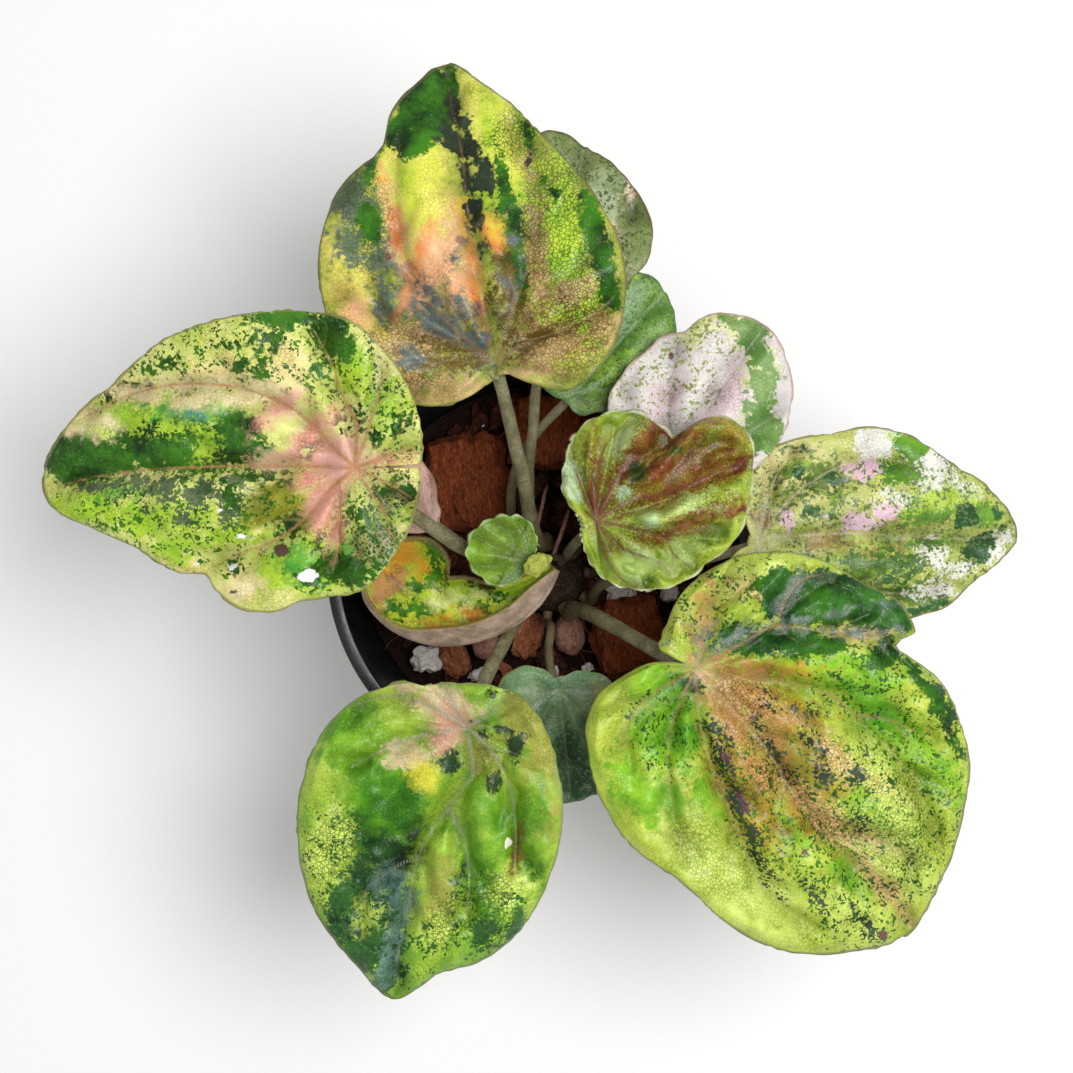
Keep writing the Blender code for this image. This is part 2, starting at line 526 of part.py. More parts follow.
def add_pot(collection, cutters):
    lip = POT_HEIGHT - POT_LIP_HEIGHT
    collar = POT_HEIGHT - POT_COLLAR_HEIGHT
    mouth = pot_inner_radius(POT_HEIGHT)
    below_collar = pot_inner_radius(collar) + POT_WALL
    profile = [
        (0.0, POT_FLOOR), (POT_BASE_RADIUS - POT_WALL, POT_FLOOR),
        (mouth, POT_HEIGHT - EDGE), (mouth + EDGE, POT_HEIGHT),
        (POT_RIM_RADIUS - EDGE, POT_HEIGHT), (POT_RIM_RADIUS, POT_HEIGHT - EDGE),
        (POT_RIM_RADIUS, lip + EDGE), (POT_RIM_RADIUS - EDGE, lip),
        (POT_RIM_RADIUS - POT_LIP_WIDTH, lip - EDGE),
        (below_collar + POT_COLLAR_STEP, collar + EDGE), (below_collar, collar),
        (POT_BASE_RADIUS, FOOT_EDGE), (POT_BASE_RADIUS - FOOT_EDGE, 0.0), (0.0, 0.0),
    ]
    pot = add_turned("pot", profile, POT_STEPS, "pot_plastic", collection)
    for index in range(DRAIN_HOLES):
        turn = 2.0 * math.pi * index / DRAIN_HOLES
        cutter_mesh = bpy.data.meshes.new("drain_hole")
        shape = bmesh.new()
        bmesh.ops.create_cone(shape, cap_ends=True, segments=14, radius1=DRAIN_RADIUS * SCALE,
                              radius2=DRAIN_RADIUS * SCALE, depth=4.0 * POT_FLOOR * SCALE)
        shape.to_mesh(cutter_mesh)
        shape.free()
        cutter = bpy.data.objects.new(f"drain_hole_{index + 1}", cutter_mesh)
        cutter.location = (DRAIN_RING * math.cos(turn) * SCALE, DRAIN_RING * math.sin(turn) * SCALE, 0.0)
        cutter.hide_render = True
        cutter.display_type = "WIRE"
        cutters.objects.link(cutter)
        hole = pot.modifiers.new(f"drain_{index + 1}", "BOOLEAN")
        hole.operation = "DIFFERENCE"
        hole.solver = "EXACT"
        hole.object = cutter


def add_bed(collection):
    """The bed: rings of points from the hole's floor up, over the relief and down the pot's wall."""
    shape = bmesh.new()
    hole_floor = CROWN_FOOT_LEVEL - GAP
    outer = pot_inner_radius(BED_LEVEL) - GAP
    turns = [2.0 * math.pi * step / BED_COLUMNS for step in range(BED_COLUMNS)]

    def ring(centre, radius, level):
        points = []
        for turn in turns:
            x = centre[0] + radius * math.cos(turn)
            y = centre[1] + radius * math.sin(turn)
            height = ground(x, y) if level is None else level
            points.append(shape.verts.new((x * SCALE, y * SCALE, height * SCALE)))
        return points

    rows = [ring(CROWN_CENTRE, HOLE_RADIUS, hole_floor)]
    for step in range(BED_RINGS + 1):
        share = step / BED_RINGS
        centre = [value * (1.0 - share) for value in CROWN_CENTRE]
        rows.append(ring(centre, HOLE_RADIUS + (outer - HOLE_RADIUS) * share, None))
    low = POT_FLOOR + GAP
    rows.append(ring((0.0, 0.0), outer - BED_SIDE_SLOPE, BED_LEVEL - BED_SIDE_DEPTH))
    rows.append(ring((0.0, 0.0), pot_inner_radius(low) - 2.0 * GAP, low))
    hole_centre = shape.verts.new((CROWN_CENTRE[0] * SCALE, CROWN_CENTRE[1] * SCALE, hole_floor * SCALE))
    under_centre = shape.verts.new((0.0, 0.0, low * SCALE))
    for j in range(BED_COLUMNS):
        k = (j + 1) % BED_COLUMNS
        shape.faces.new((hole_centre, rows[0][j], rows[0][k]))
        for inner, following in zip(rows, rows[1:]):
            shape.faces.new((inner[j], following[j], following[k], inner[k]))
        shape.faces.new((under_centre, rows[-1][k], rows[-1][j]))
    add_object("substrate", mesh_from_bmesh("substrate", shape), "bed_mix", collection)


def add_loose_pieces(collection):
    """Each piece is set down so that its lowest point is a gap above its seat."""
    for number, (name, piece) in enumerate(LOOSE_PIECES.items()):
        kind, middle, half_sizes, turn = piece
        seed = FIRST_SEED + SEED_STEP * number
        lump = add_lump(name, half_sizes, turn, LUMP_ROUGHNESS[kind], LUMP_CUTS[kind], seed, kind, collection)
        lowest = min(vert.co.z for vert in lump.data.vertices)
        lump.location = (middle[0] * SCALE, middle[1] * SCALE, (SEAT_LEVEL + GAP) * SCALE - lowest)


def add_crown(collection):
    dome = []
    for angle in CROWN_DOME_ANGLES:
        turn = math.radians(angle)
        dome.append((CROWN_RADIUS * math.sin(turn), CROWN_DOME_LEVEL + CROWN_DOME_HEIGHT * math.cos(turn)))
    crown = add_turned("crown", dome + CROWN_FOOT, CROWN_STEPS, "crown", collection)
    crown.location = (CROWN_CENTRE[0] * SCALE, CROWN_CENTRE[1] * SCALE, 0.0)


def crown_point(azimuth, off_top, lift):
    """A point over the crown's dome, a lift away from it."""
    turn = math.radians(azimuth)
    lean = math.radians(off_top)
    out = np.array([math.sin(lean) * math.cos(turn), math.sin(lean) * math.sin(turn), math.cos(lean)])
    radii = np.array([CROWN_RADIUS, CROWN_RADIUS, CROWN_DOME_HEIGHT])
    surface = np.array([*CROWN_CENTRE, CROWN_DOME_LEVEL]) + out * radii
    normal = out / radii
    return surface + normal / np.linalg.norm(normal) * lift


def stalk_end(carried):
    """Where the stalk ends: a gap under the underside of what it carries."""
    if carried == "leaf_curled":
        return np.array(CURLED_STALK_END)
    if carried == "leaf_bud":
        return np.array(BUD["middle"]) - [0.0, 0.0, BUD["half_sizes"][2] + GAP]
    return np.array(BLADES[carried]["stalk"]) - [0.0, 0.0, BLADE_THICKNESS + END_GAP]


def add_stalk(name, stalk, collection):
    (azimuth, off_top), passes, carried, (root_radius, tip_radius) = stalk
    end = stalk_end(carried)
    root = crown_point(azimuth, off_top, GAP + ROOT_LIFT * root_radius)
    points = [root, crown_point(azimuth, off_top, ROOT_RUN)]
    points += [np.array(point) for point in passes]
    back_along = points[-1] - end
    points += [end + END_BEND * back_along - [0.0, 0.0, END_DROP], end]
    path = smooth_path(points, STALK_POINTS + len(passes))
    curve = bpy.data.curves.new(name, "CURVE")
    curve.dimensions = "3D"
    curve.bevel_depth = SCALE
    curve.bevel_resolution = STALK_SIDES
    curve.use_fill_caps = True
    spline = curve.splines.new("POLY")
    spline.points.add(len(path) - 1)
    for index, (point, place) in enumerate(zip(spline.points, path)):
        share = index / (len(path) - 1)
        point.co = (*(place * SCALE), 1.0)
        point.radius = root_radius + (tip_radius - root_radius) * min(1.0, share * TAPER)
    return add_object(name, curve, "stalk", collection)


def add_bud(collection):
    bud = add_lump("leaf_bud", BUD["half_sizes"], BUD["turn"], BUD["roughness"], 0, BUD["seed"],
                   "blade_young", collection)
    bud.location = [value * SCALE for value in BUD["middle"]]


def main():
    clear_scene()
    parts = new_collection("potted_peperomia")
    cutters = new_collection("cutters")
    add_pot(parts, cutters)
    add_bed(parts)
    add_loose_pieces(parts)
    add_crown(parts)
    for name, blade in BLADES.items():
        add_sheet(name, blade_surface(name, blade), BLADE_COLOURS.get(name, "blade"), parts)
    add_sheet("leaf_curled", curled_surface("leaf_curled"), "blade", parts)
    add_bud(parts)
    for name, stalk in STALKS.items():
        add_stalk(name, stalk, parts)


main()
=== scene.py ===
import math

import bmesh
import bpy
import numpy as np
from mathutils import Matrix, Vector, noise


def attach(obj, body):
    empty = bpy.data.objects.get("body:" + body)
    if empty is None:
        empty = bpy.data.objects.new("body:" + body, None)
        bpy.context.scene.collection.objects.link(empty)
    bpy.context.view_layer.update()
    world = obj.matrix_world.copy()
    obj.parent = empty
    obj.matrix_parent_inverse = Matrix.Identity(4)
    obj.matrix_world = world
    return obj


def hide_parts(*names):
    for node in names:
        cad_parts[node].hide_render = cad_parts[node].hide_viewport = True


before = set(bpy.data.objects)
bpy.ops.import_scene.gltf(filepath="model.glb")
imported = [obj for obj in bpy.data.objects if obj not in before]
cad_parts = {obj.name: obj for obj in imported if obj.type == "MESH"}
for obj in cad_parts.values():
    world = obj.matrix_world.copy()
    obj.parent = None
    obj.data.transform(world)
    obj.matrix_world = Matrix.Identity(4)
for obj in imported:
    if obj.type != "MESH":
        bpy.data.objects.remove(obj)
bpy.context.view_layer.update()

# Potted peperomia, dressed: every blade, stalk and bed piece is built again on the same form with far
# more points, and painted with procedural materials. Lengths here are in millimetres.
mm = 0.001
viewPoint = (-0.74, 5.78, 528.0)
body = "root"


def tone(code):
    # a colour as the eye reads it, turned into the light values that shaders take
    parts = [int(code[i:i + 2], 16) / 255.0 for i in (0, 2, 4)]
    return tuple(((part + 0.055) / 1.055) ** 2.4 if part > 0.04 else part / 12.92 for part in parts) + (1.0,)


def scatterValue(ix, iy, seed):
    mixed = np.sin(ix * 127.1 + iy * 311.7 + seed * 74.7) * 43758.5453
    return mixed - np.floor(mixed)


def softNoise(x, y, size, seed):
    # smooth noise from -1 to 1 over a plane, for whole arrays at once
    x, y = x / size, y / size
    ix, iy = np.floor(x), np.floor(y)
    fx, fy = x - ix, y - iy
    fx, fy = fx * fx * (3.0 - 2.0 * fx), fy * fy * (3.0 - 2.0 * fy)
    low = scatterValue(ix, iy, seed) * (1.0 - fx) + scatterValue(ix + 1.0, iy, seed) * fx
    high = scatterValue(ix, iy + 1.0, seed) * (1.0 - fx) + scatterValue(ix + 1.0, iy + 1.0, seed) * fx
    return 2.0 * (low * (1.0 - fy) + high * fy) - 1.0


def smoothPath(points, count):
    # evenly shared points on a curve through the given ones, as the solids have it
    points = np.array(points, dtype=float)
    padded = np.vstack([2 * points[0] - points[1], points, 2 * points[-1] - points[-2]])
    path = []
    for share in np.linspace(0.0, len(points) - 1.0, count):
        i = min(int(share), len(points) - 2)
        t = share - i
        a, b, c, d = padded[i:i + 4]
        path.append(0.5 * (2 * b + (c - a) * t + (2 * a - 5 * b + 4 * c - d) * t**2
                           + (3 * b - a - 3 * c + d) * t**3))
    return np.array(path)


def makeMesh(name, points, faces, attributes=None):
    mesh = bpy.data.meshes.new(name)
    mesh.from_pydata((np.asarray(points) * mm).tolist(), [], faces)
    for key, values in (attributes or {}).items():
        layer = mesh.attributes.new(key, "FLOAT", "POINT")
        layer.data.foreach_set("value", np.ascontiguousarray(values, dtype=np.float32))
    mesh.shade_smooth()
    mesh.update()
    return mesh


def addPiece(name, data, materials, slotName, *nodes):
    piece = bpy.data.objects.new(name, data)
    bpy.context.scene.collection.objects.link(piece)
    for material in materials:
        data.materials.append(material)
    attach(piece, body)
    if nodes:
        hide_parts(*nodes)
    return piece


# Shader building blocks
def addNode(tree, kind, values=None, **settings):
    made = tree.nodes.new(kind)
    for key, value in settings.items():
        setattr(made, key, value)
    for key, value in (values or {}).items():
        if isinstance(value, bpy.types.NodeSocket):
            tree.links.new(value, made.inputs[key])
        else:
            made.inputs[key].default_value = value
    return made


def calc(tree, operation, a, b=0.0, c=0.0, clamp=False):
    return addNode(tree, "ShaderNodeMath", {0: a, 1: b, 2: c}, operation=operation, use_clamp=clamp).outputs[0]


def mixColours(tree, share, a, b, blend="MIX"):
    return addNode(tree, "ShaderNodeMix", {0: share, 6: a, 7: b}, data_type="RGBA", blend_type=blend).outputs[2]


def ramp(tree, value, low, high, start=0.0, end=1.0):
    return addNode(tree, "ShaderNodeMapRange", {0: value, 1: low, 2: high, 3: start, 4: end}).outputs[0]


def grain(tree, place, size, detail=2.0, roughness=0.55, stretch=None):
    if stretch:
        place = addNode(tree, "ShaderNodeMapping", {0: place, 3: stretch}).outputs[0]
    return addNode(tree, "ShaderNodeTexNoise",
                   {"Vector": place, "Scale": 1.0 / size, "Detail": detail, "Roughness": roughness})


def cellMap(tree, place, size, feature="F1", randomness=1.0):
    return addNode(tree, "ShaderNodeTexVoronoi", {"Vector": place, "Scale": 1.0 / size, "Randomness": randomness},
                   feature=feature)


def channels(tree, colour):
    return addNode(tree, "ShaderNodeSeparateColor", {0: colour}).outputs


def newMaterial(name, roughness, specular=0.4):
    material = bpy.data.materials.new(name)
    material.use_nodes = True
    tree = material.node_tree
    shader = tree.nodes["Principled BSDF"]
    shader.inputs["Roughness"].default_value = roughness
    shader.inputs["Specular IOR Level"].default_value = specular
    coordinates = addNode(tree, "ShaderNodeTexCoord").outputs["Object"]
    place = addNode(tree, "ShaderNodeVectorMath", {0: coordinates, 3: 1.0 / mm}, operation="SCALE").outputs[0]
    return material, tree, shader, place


def addBump(tree, shader, height, depth):
    bump = addNode(tree, "ShaderNodeBump", {"Height": height, "Distance": depth * mm, "Strength": 1.0})
    tree.links.new(bump.outputs[0], shader.inputs["Normal"])
    return bump


# Blades. stalk, heading, outline, form and ribs are the solids' own values. routes are the main veins as
# they run over the blade, in mm along the tip direction and to its left. paint is laid on in order: each
# layer has two tones, how ragged its edge is, how speckled it is, and its patches (along, left, half
# length, half width, turn).
blades = {
    "leaf_back": {
        "stalk": (-8.7, 39.2, 118.0), "heading": 99.0, "rows": 80,
        "outline": [(0, 58), (9, 54.5), (14, 51.5), (19, 46.5), (31, 45), (43, 42), (58, 36.5), (80, 29),
                    (109, 17.5), (131, 9.5), (150, 5), (190, 3), (219, 3.6), (230, 8), (239, 14.5),
                    (260, 20.5), (280, 26), (306, 33.5), (327, 39.6), (340, 45), (347, 49.6), (354, 54)],
        "form": {"slope": -0.05, "roll": -0.07, "arch": 0.42, "bow": 0.2, "fold": 0.06,
                 "wave": (1.6, 6, 20), "drop": 1.5, "puff": 1.3},
        "ribs": [0, 36, 74, 122, -34, -72, -112],
        "swell": 1.2, "tissue": ("b9c04e", "7b8a34"), "vein": ("c08a5a", 0.35), "margin": "6d6a3a",
        "routes": [[(0, 0), (10, 0.6), (25, 1), (40, 0), (50, 0.5), (57, 0)],
                   [(0, 0), (5, 4.5), (10, 8.5), (17, 12.5), (24, 14), (35, 13.8), (44, 11.5)],
                   [(0, 0), (3, 4), (6.5, 10), (10, 17), (15, 24), (19, 29)],
                   [(0, 0), (1, 5), (-1, 12), (-4, 18)],
                   [(0, 0), (6, -3), (12, -6.5), (21, -11), (30, -13), (37, -13.5), (44, -10)],
                   [(0, 0), (5, -5), (10.5, -10), (14.5, -17), (20, -24)],
                   [(0, 0), (2.5, -6), (4, -13), (6, -20), (10, -26)],
                   [(0, 0), (-1, -6), (-4, -11), (-6, -15)]],
        "paint": [
            ("cellLime", ("c2dc40", "8cbc2c"), 1.0, 1.0,
             [(22, -17, 11, 4.6, 0), (33, -12, 5, 4, 0), (10, -20, 5, 5, 0), (43, -12, 4, 2.4, 0), (33, -4, 4, 2.4, 0),
              (6, -15, 4, 7, 0), (38, -19, 3, 2, 0)]),
            ("strawYellow", ("dcd464", "bcb048"), 1.1, 1.1,
             [(19, 25, 6, 5, 0), (26, 27, 4, 3, 0), (12, 23, 4, 4, 0), (4, 20, 5, 4, 0), (28, 20, 4, 2, 0)]),
            ("greyOlive", ("7c8670", "4c5a44"), 1.2, 1.4,
             [(34, 22, 6.5, 4.5, 10), (27, 23.5, 5, 3, 0), (16, 19, 5, 2.2, 0), (23, 18, 4, 3, -20), (19, 14, 3, 3, 0),
              (13, 14, 3, 5, -30)]),
            ("tan", ("ccb078", "a88c58"), 1.0, 1.2,
             [(19.5, -11.4, 11, 1.7, -4), (9, -6.6, 5, 1.5, 30), (2, -11, 4, 7, 0), (4, -22, 3, 4, 0), (-3, -6, 2, 5, 0),
              (6, 14, 4, 7, 10), (-4, 10, 3, 6, 0), (-2, 17, 4, 3, 0), (36, -11.8, 4, 1.0, 0), (11, -17, 2, 7, 20)]),
            ("oliveBrown", ("7c6c2a", "4e4618"), 1.0, 1.2,
             [(5, 8, 2.2, 7, -12), (1, 8, 1.6, 7, -8), (8, -3.4, 6, 2, 14), (3, -8, 2, 6, 25), (16, -5.2, 9, 2.6, 0)]),
            ("butter", ("eee672", "d8dc4c"), 0.8, 0.3,
             [(35, 10, 9.5, 5.6, 14), (28, 8.5, 7, 4.6, 0), (42, 12, 4, 4, 0), (44, -6, 8.5, 4.2, -6), (37, -8, 4, 3.6, 0),
              (50, -4, 4, 2.6, 0), (40, 6, 5, 3, 0)]),
            ("limeHeart", ("b8d438", "a4c42e"), 0.9, 0.3, [(45, -6, 5, 2.2, -6), (37, 12, 4, 1.6, 0)]),
            ("peach", ("f2ae80", "eabb88"), 0.9, 0.5,
             [(21, 8, 6, 4.6, 0), (15, 4.6, 6, 2.8, -16), (28, 14.6, 6, 1.3, 6), (17, 11, 4, 3, -30), (11, 25, 5, 2.4, 0),
              (6, 25, 3, 2, 0), (25, 4, 5, 2.4, 0)]),
            ("orange", ("f09650", "e07c40"), 0.6, 0.3,
             [(12.5, 1.8, 5.5, 1.0, 4), (20, 1.4, 5, 0.8, 2), (24, -3.2, 3.2, 1.3, 20), (27, 14.8, 6, 0.6, 6),
              (20, 12.4, 5, 0.7, -28)]),
            ("gold", ("e8cc48", "dcb83c"), 0.6, 0.3, [(25.5, -3.6, 2.6, 1.4, 20), (28, 1, 3, 1.4, 0)]),
            ("darkNet", ("4c6c1c", "38501c"), 1.0, 0.4, [(26, -16, 14, 7, 0), (10, -19, 8, 6, 0), (42, -10, 5, 5, 0), (30, 20, 9, 5, 0)]),
            ("brownNet", ("846428", "64501c"), 1.0, 0.6, [(3, -14, 8, 9, 0), (4, 16, 7, 10, 0), (14, -8, 8, 4, 0)]),
            ("deepGreen", ("3c7a14", "123608"), 0.7, 0.5,
             [(50.5, 5.5, 8, 5.6, -18), (45.5, 9.6, 4.6, 4.6, 0), (54, 0.6, 3.4, 2.6, 0), (20, -23, 11, 2.4, 4),
              (30, -16.5, 3.2, 0.9, 40), (30, 19.5, 4, 2.3, 0), (40.5, 17.5, 4, 1.5, -30), (33, -7, 6, 1.4, 0),
              (26, -8, 6, 1.6, 0), (42, -13.4, 3, 1.0, 0), (10, -24, 4, 2, 0), (17, -7.6, 6, 1.3, 0)]),
            ("slate", ("3c4c34", "1c2a1a"), 0.8, 0.5,
             [(37, -0.4, 12, 1.3, 0), (43, 1.4, 3, 1.8, 40), (35, -3.4, 4, 2.2, 0), (40, -2, 3, 1.6, 0),
              (29, -1.4, 5, 1.2, 0), (49, 0.4, 4, 1.5, 0), (44, -1.4, 3, 1.2, 0)]),
            ("ash", ("7c8078", "54605c"), 1.0, 0.9,
             [(10.5, 4.2, 5.4, 1.8, 30), (6, 4.4, 3, 1.6, 40), (9, 9, 2.4, 5, -50), (14, 9.6, 5, 1.2, 38), (3, 1.6, 3, 1.2, 0),
              (22, 3.6, 1.6, 0.5, -40), (15, -4.4, 1.6, 0.7, 0), (3, 17, 1.6, 3.4, 0), (21, -7.2, 1.5, 0.8, 0)]),
        ],
        "dots": [("eye", "4a3a30", [(37.2, -12.4, 1.5, 0.7, -30)]), ("scar", "7a4a30", [(23.4, 17, 0.8, 0.6, 0)])],
    },
    "leaf_left": {
        "stalk": (-35.5, 18.9, 118.2), "heading": 181.8, "rows": 80,
        "outline": [(0, 60), (5, 59), (11, 52), (18, 45), (29, 39.5), (34, 35.3), (38, 35.8), (48, 35),
                    (58, 32), (68, 27), (94, 23), (120, 17), (150, 13.5), (178.5, 12.5), (180, 2.8),
                    (181.5, 12.5), (199, 14), (228, 17.5), (252, 22.7), (270, 28.2), (298, 34.8),
                    (314, 40), (326, 45), (338, 48.7), (344, 52.3), (352, 57)],
        "form": {"slope": -0.06, "roll": -0.08, "arch": 0.34, "bow": 0.2, "fold": 0.05,
                 "wave": (1.4, 7, 60), "drop": 1.0, "puff": 1.3},
        "ribs": [0, 32, 72, 128, -36, -76, -124],
        "swell": 1.4, "tissue": ("dede88", "bccc5c"), "vein": ("cc9660", 1.0), "margin": "8c8a4c",
        "routes": [[(0, 0), (8, -0.5), (20, -1), (35, -1), (45, -0.5), (54, 1), (59, 2.5)],
                   [(0, 0), (5, -5), (10, -10.5), (16, -14), (24, -16.5), (35, -17), (45, -14.5), (54, -10)],
                   [(0, 0), (-0.5, -8), (1.5, -13), (4, -20.5), (7, -26.5)],
                   [(0, 0), (-3, -8), (-5, -14), (-7, -20)],
                   [(0, 0), (-6, -2), (-11, -4)],
                   [(0, 0), (5, 4), (10, 9.5), (16, 13.5), (22, 15.5), (28, 18)],
                   [(0, 0), (3, 7), (3.5, 14), (5, 20)],
                   [(0, 0), (-3, 5), (-6, 10), (-6, 15)],
                   [(0, 0), (-6, 3), (-10.5, 6)]],
        "paint": [
            ("cream", ("ecdc98", "dccb80"), 1.4, 1.0,
             [(24, -19, 9, 2.6, 0), (12, -19, 4, 7, 0), (44, -15, 6, 3, -20), (21, 21, 5, 3, 0),
              (-6, 14, 3, 4, 0), (33, 17, 4, 2, 0)]),
            ("lime", ("b6d43a", "92bc2c"), 1.4, 1.2,
             [(49, 6, 9, 3.5, 0), (40, 9, 7, 4, 0), (14, 19, 6, 4, 0), (-0.5, -18.5, 4, 4.6, 0), (43, -11, 5, 3, 0),
              (8, 15, 4, 5, 0), (34, 14, 6, 3, 0), (-6, -12, 4, 5, 0), (24, 12, 5, 3, 0), (6, 21, 5, 3, 0), (53, -7, 3, 2, 0),
              (-8, 8, 3, 4, 0), (30, 8, 6, 2.4, 0)]),
            ("brightGreen", ("7cb83a", "4c9a34"), 1.2, 1.3,
             [(35, -10.5, 6, 3, 0), (27, -10.6, 5, 2.2, 0), (10, 19, 5, 4, -20), (-4, 14, 3, 5, 0), (2, 17, 4, 4, 0),
              (42, -8, 4, 2.4, 0), (46, 3, 4, 1.4, 0)]),
            ("olive", ("a09c2c", "6e7418"), 1.0, 0.7, [(15.5, 6, 6.6, 4.2, 10), (10, 8, 4, 3.4, 30), (19, 9, 4, 2.4, 0)]),
            ("greyGreen", ("6c7c54", "44563c"), 1.3, 1.2,
             [(37, 2.6, 8, 2.2, 0), (29, 3.6, 6, 2.4, 0), (47, 1.6, 5, 1.4, 0), (23, 2.2, 3, 1.6, 0), (32, 8, 3, 1.6, 0),
              (25, 8, 2, 2.4, 0), (38, 7, 2.4, 1.2, 0)]),
            ("deepGreen", ("3f7c18", "14380c"), 0.8, 0.5,
             [(-4, 15, 5, 4, 0), (2, 19, 5, 2.4, 0), (53, -3.6, 7, 5.2, 0), (47, -3.6, 6, 3.6, 0), (38, -6, 8, 4.2, 0), (27, -5.5, 9, 4.4, 0),
              (18.5, -3.4, 3.6, 2.6, 0), (34, -1.6, 14, 1.5, 0), (22, -9.5, 4, 2.4, -20), (31, -9, 5, 2, 0),
              (13, -29, 6.5, 2.2, 0), (4, -26, 3.6, 4.2, 0), (1, -23, 2, 2.6, 0)]),
            ("limeFlecks", ("b0d03c", "80a828"), 1.1, 1.6,
             [(34, -9, 4, 1.4, 0), (28, -5, 2, 2.6, 0), (42, -10, 3, 1.6, 0)]),
            ("darkPatches", ("386c14", "183a0c"), 0.8, 1.1,
             [(6, -19.4, 1.6, 2.2, 0), (2.6, -10, 2, 1.4, 0), (-0.6, -10.4, 1.3, 2.2, 0), (2, -6.8, 2.3, 1.1, 0),
              (-4.3, -5.6, 1.8, 1.4, 0), (16, -25, 3.4, 1.7, 0), (21, -20.5, 2.0, 1.0, 30), (23, -24, 1.2, 1.2, 0),
              (17, -19, 1.4, 2.4, 0), (-9, -8, 2, 1.8, 0), (8, -5, 2.6, 1.0, 0), (11, -3.6, 1.6, 1.2, 0),
              (34, -22, 2.4, 1.0, 20), (44, -16.5, 3, 0.9, 25), (39, -20, 1.8, 0.8, 0), (-2, 12, 1.3, 4, 0),
              (-6, 6, 3, 2.4, 0), (-9, 5, 2, 3, 0), (4, 19, 5, 2.6, 0), (0, 21, 4, 1.6, 0), (9, 21, 3, 1.4, 0),
              (-4, 17, 2, 3, 0), (7, 13.5, 1.2, 2.4, 0), (23.5, 18.5, 1.3, 1.2, 0), (24, 5.5, 1.8, 2.4, 0),
              (12, 10, 1.4, 2.4, 0), (16, 1.4, 4, 0.9, 0), (2.4, 8, 0.9, 3, 0)]),
            ("paleNet", ("dcd890", "c4bc70"), 1.0, 0.4,
             [(-4, 15, 5, 4, 0), (-7, 9, 3, 4, 0)]),
            ("freckles", ("487c1c", "285410"), 3.0, 2.3,
             [(15, -22, 24, 9, 0), (42, -18, 10, 4, 0), (-7, -6, 6, 14, 0), (0, 15, 11, 10, 0), (32, 9, 22, 9, 0)]),
            ("sheen", ("5ca084", "4a8e68"), 0.8, 0.6, [(30.5, -11.8, 3, 1.5, 0)]),
            ("creamRidge", ("f0e4b0", "e6cc98"), 0.8, 0.4,
             [(20, -14.8, 7, 1.7, 12), (30, -16.8, 8, 1.2, 0), (42, -15.6, 6, 1.2, -14), (50, -11.6, 4, 1.2, -24),
              (22, 22.5, 3, 1.8, 20), (30, -14, 6, 1.1, 0), (16.5, -2.4, 2.4, 1.4, 0), (53, -9, 3, 0.8, -20)]),
            ("rose", ("eeb4a4", "e2967e"), 0.8, 0.6,
             [(4, -1.4, 6, 4, 0), (8, -7, 6, 2.0, 42), (6, 6, 3.4, 5.6, -14), (2, -3, 4, 3, 0), (12, -2, 4, 1.2, 0),
              (14, -12, 5, 1.5, 32), (4.4, 11.4, 1.2, 3, -10), (8, 2, 3.4, 2.4, 0), (-5, -1.2, 4, 1.0, 0)]),
        ],
        "dots": [("scab", "5a4638", [(14.6, 15.3, 1.4, 1.3, 0), (38.8, -17, 0.8, 0.5, 0), (24, 23, 0.6, 0.5, 0)]),
                 ("chalk", "ffffff", [(9.6, 20.4, 1.9, 1.2, 10), (22, 12.4, 1.0, 0.6, 0), (24, 18.2, 0.9, 0.6, 0),
                                      (26, 7.3, 0.5, 0.3, 0), (31, 17.5, 0.5, 0.4, 0)])],
    },
    "leaf_front_left": {
        "stalk": (-14.5, -31.9, 105.0), "heading": 254.5, "rows": 76,
        "outline": [(0, 56), (5, 52.5), (9, 49.3), (18, 46.8), (30, 42), (39, 36.8), (52, 30.4),
                    (67, 24.4), (84, 19.3), (110, 15), (140, 12), (170, 9.3), (177, 8.9),
                    (183, 8.8), (204, 8.8), (218, 9.7), (240, 11.8), (249, 15), (265, 20.2),
                    (285.5, 28), (304, 34.4), (314, 38.3), (326, 43.2), (339, 48.2), (351, 52.3)],
        "form": {"slope": -0.04, "roll": 0.03, "arch": 0.38, "bow": 0.26, "fold": 0.05,
                 "wave": (1.5, 6, 100), "drop": 1.5, "puff": 1.4},
        "ribs": [0, 34, 76, 126, -34, -74, -120],
        "swell": 2.2, "tissue": ("a4c63e", "74a42e"), "vein": ("aca98c", 0.7), "margin": "7a8a44",
        "routes": [[(0, 0), (8.2, 3.5), (12, 2.4), (16.2, 0.8), (22, -1.2), (27.4, -2.4), (35.3, -1.9), (46.2, -1.2),
                    (55, 0)],
                   [(0, 0), (3.5, 6.2), (9.2, 11.4), (16, 14.5), (24, 16.5)],
                   [(16.2, 0.8), (22, 5.7), (28.4, 8.3), (36.7, 10.2)],
                   [(27.4, -2.4), (29.9, -5.7), (35, -9.8), (41, -12)],
                   [(0, 0), (4, -8), (8, -14), (14, -20)],
                   [(0, 0), (-2, -8), (-2, -16), (2, -23)],
                   [(0, 0), (-4, 4), (-8, 6)],
                   [(0, 0), (-5, -5), (-8, -8)]],
        "paint": [
            ("yellowGreen", ("b4c850", "94b03a"), 1.3, 1.0,
             [(-3, -14, 4, 6, 0), (30, -21, 8, 4, 0), (15, -26, 7, 3, 0)]),
            ("oliveTan", ("aeae50", "8c9238"), 1.2, 0.8,
             [(-6, 11.5, 7, 6, 0), (2, 16, 6, 4, 0), (33.6, 4, 7, 3.6, 0), (14, 20, 5, 3, 0), (6, 5, 5, 3, 0)]),
            ("leafGreen", ("84b42c", "568e1c"), 1.2, 0.6,
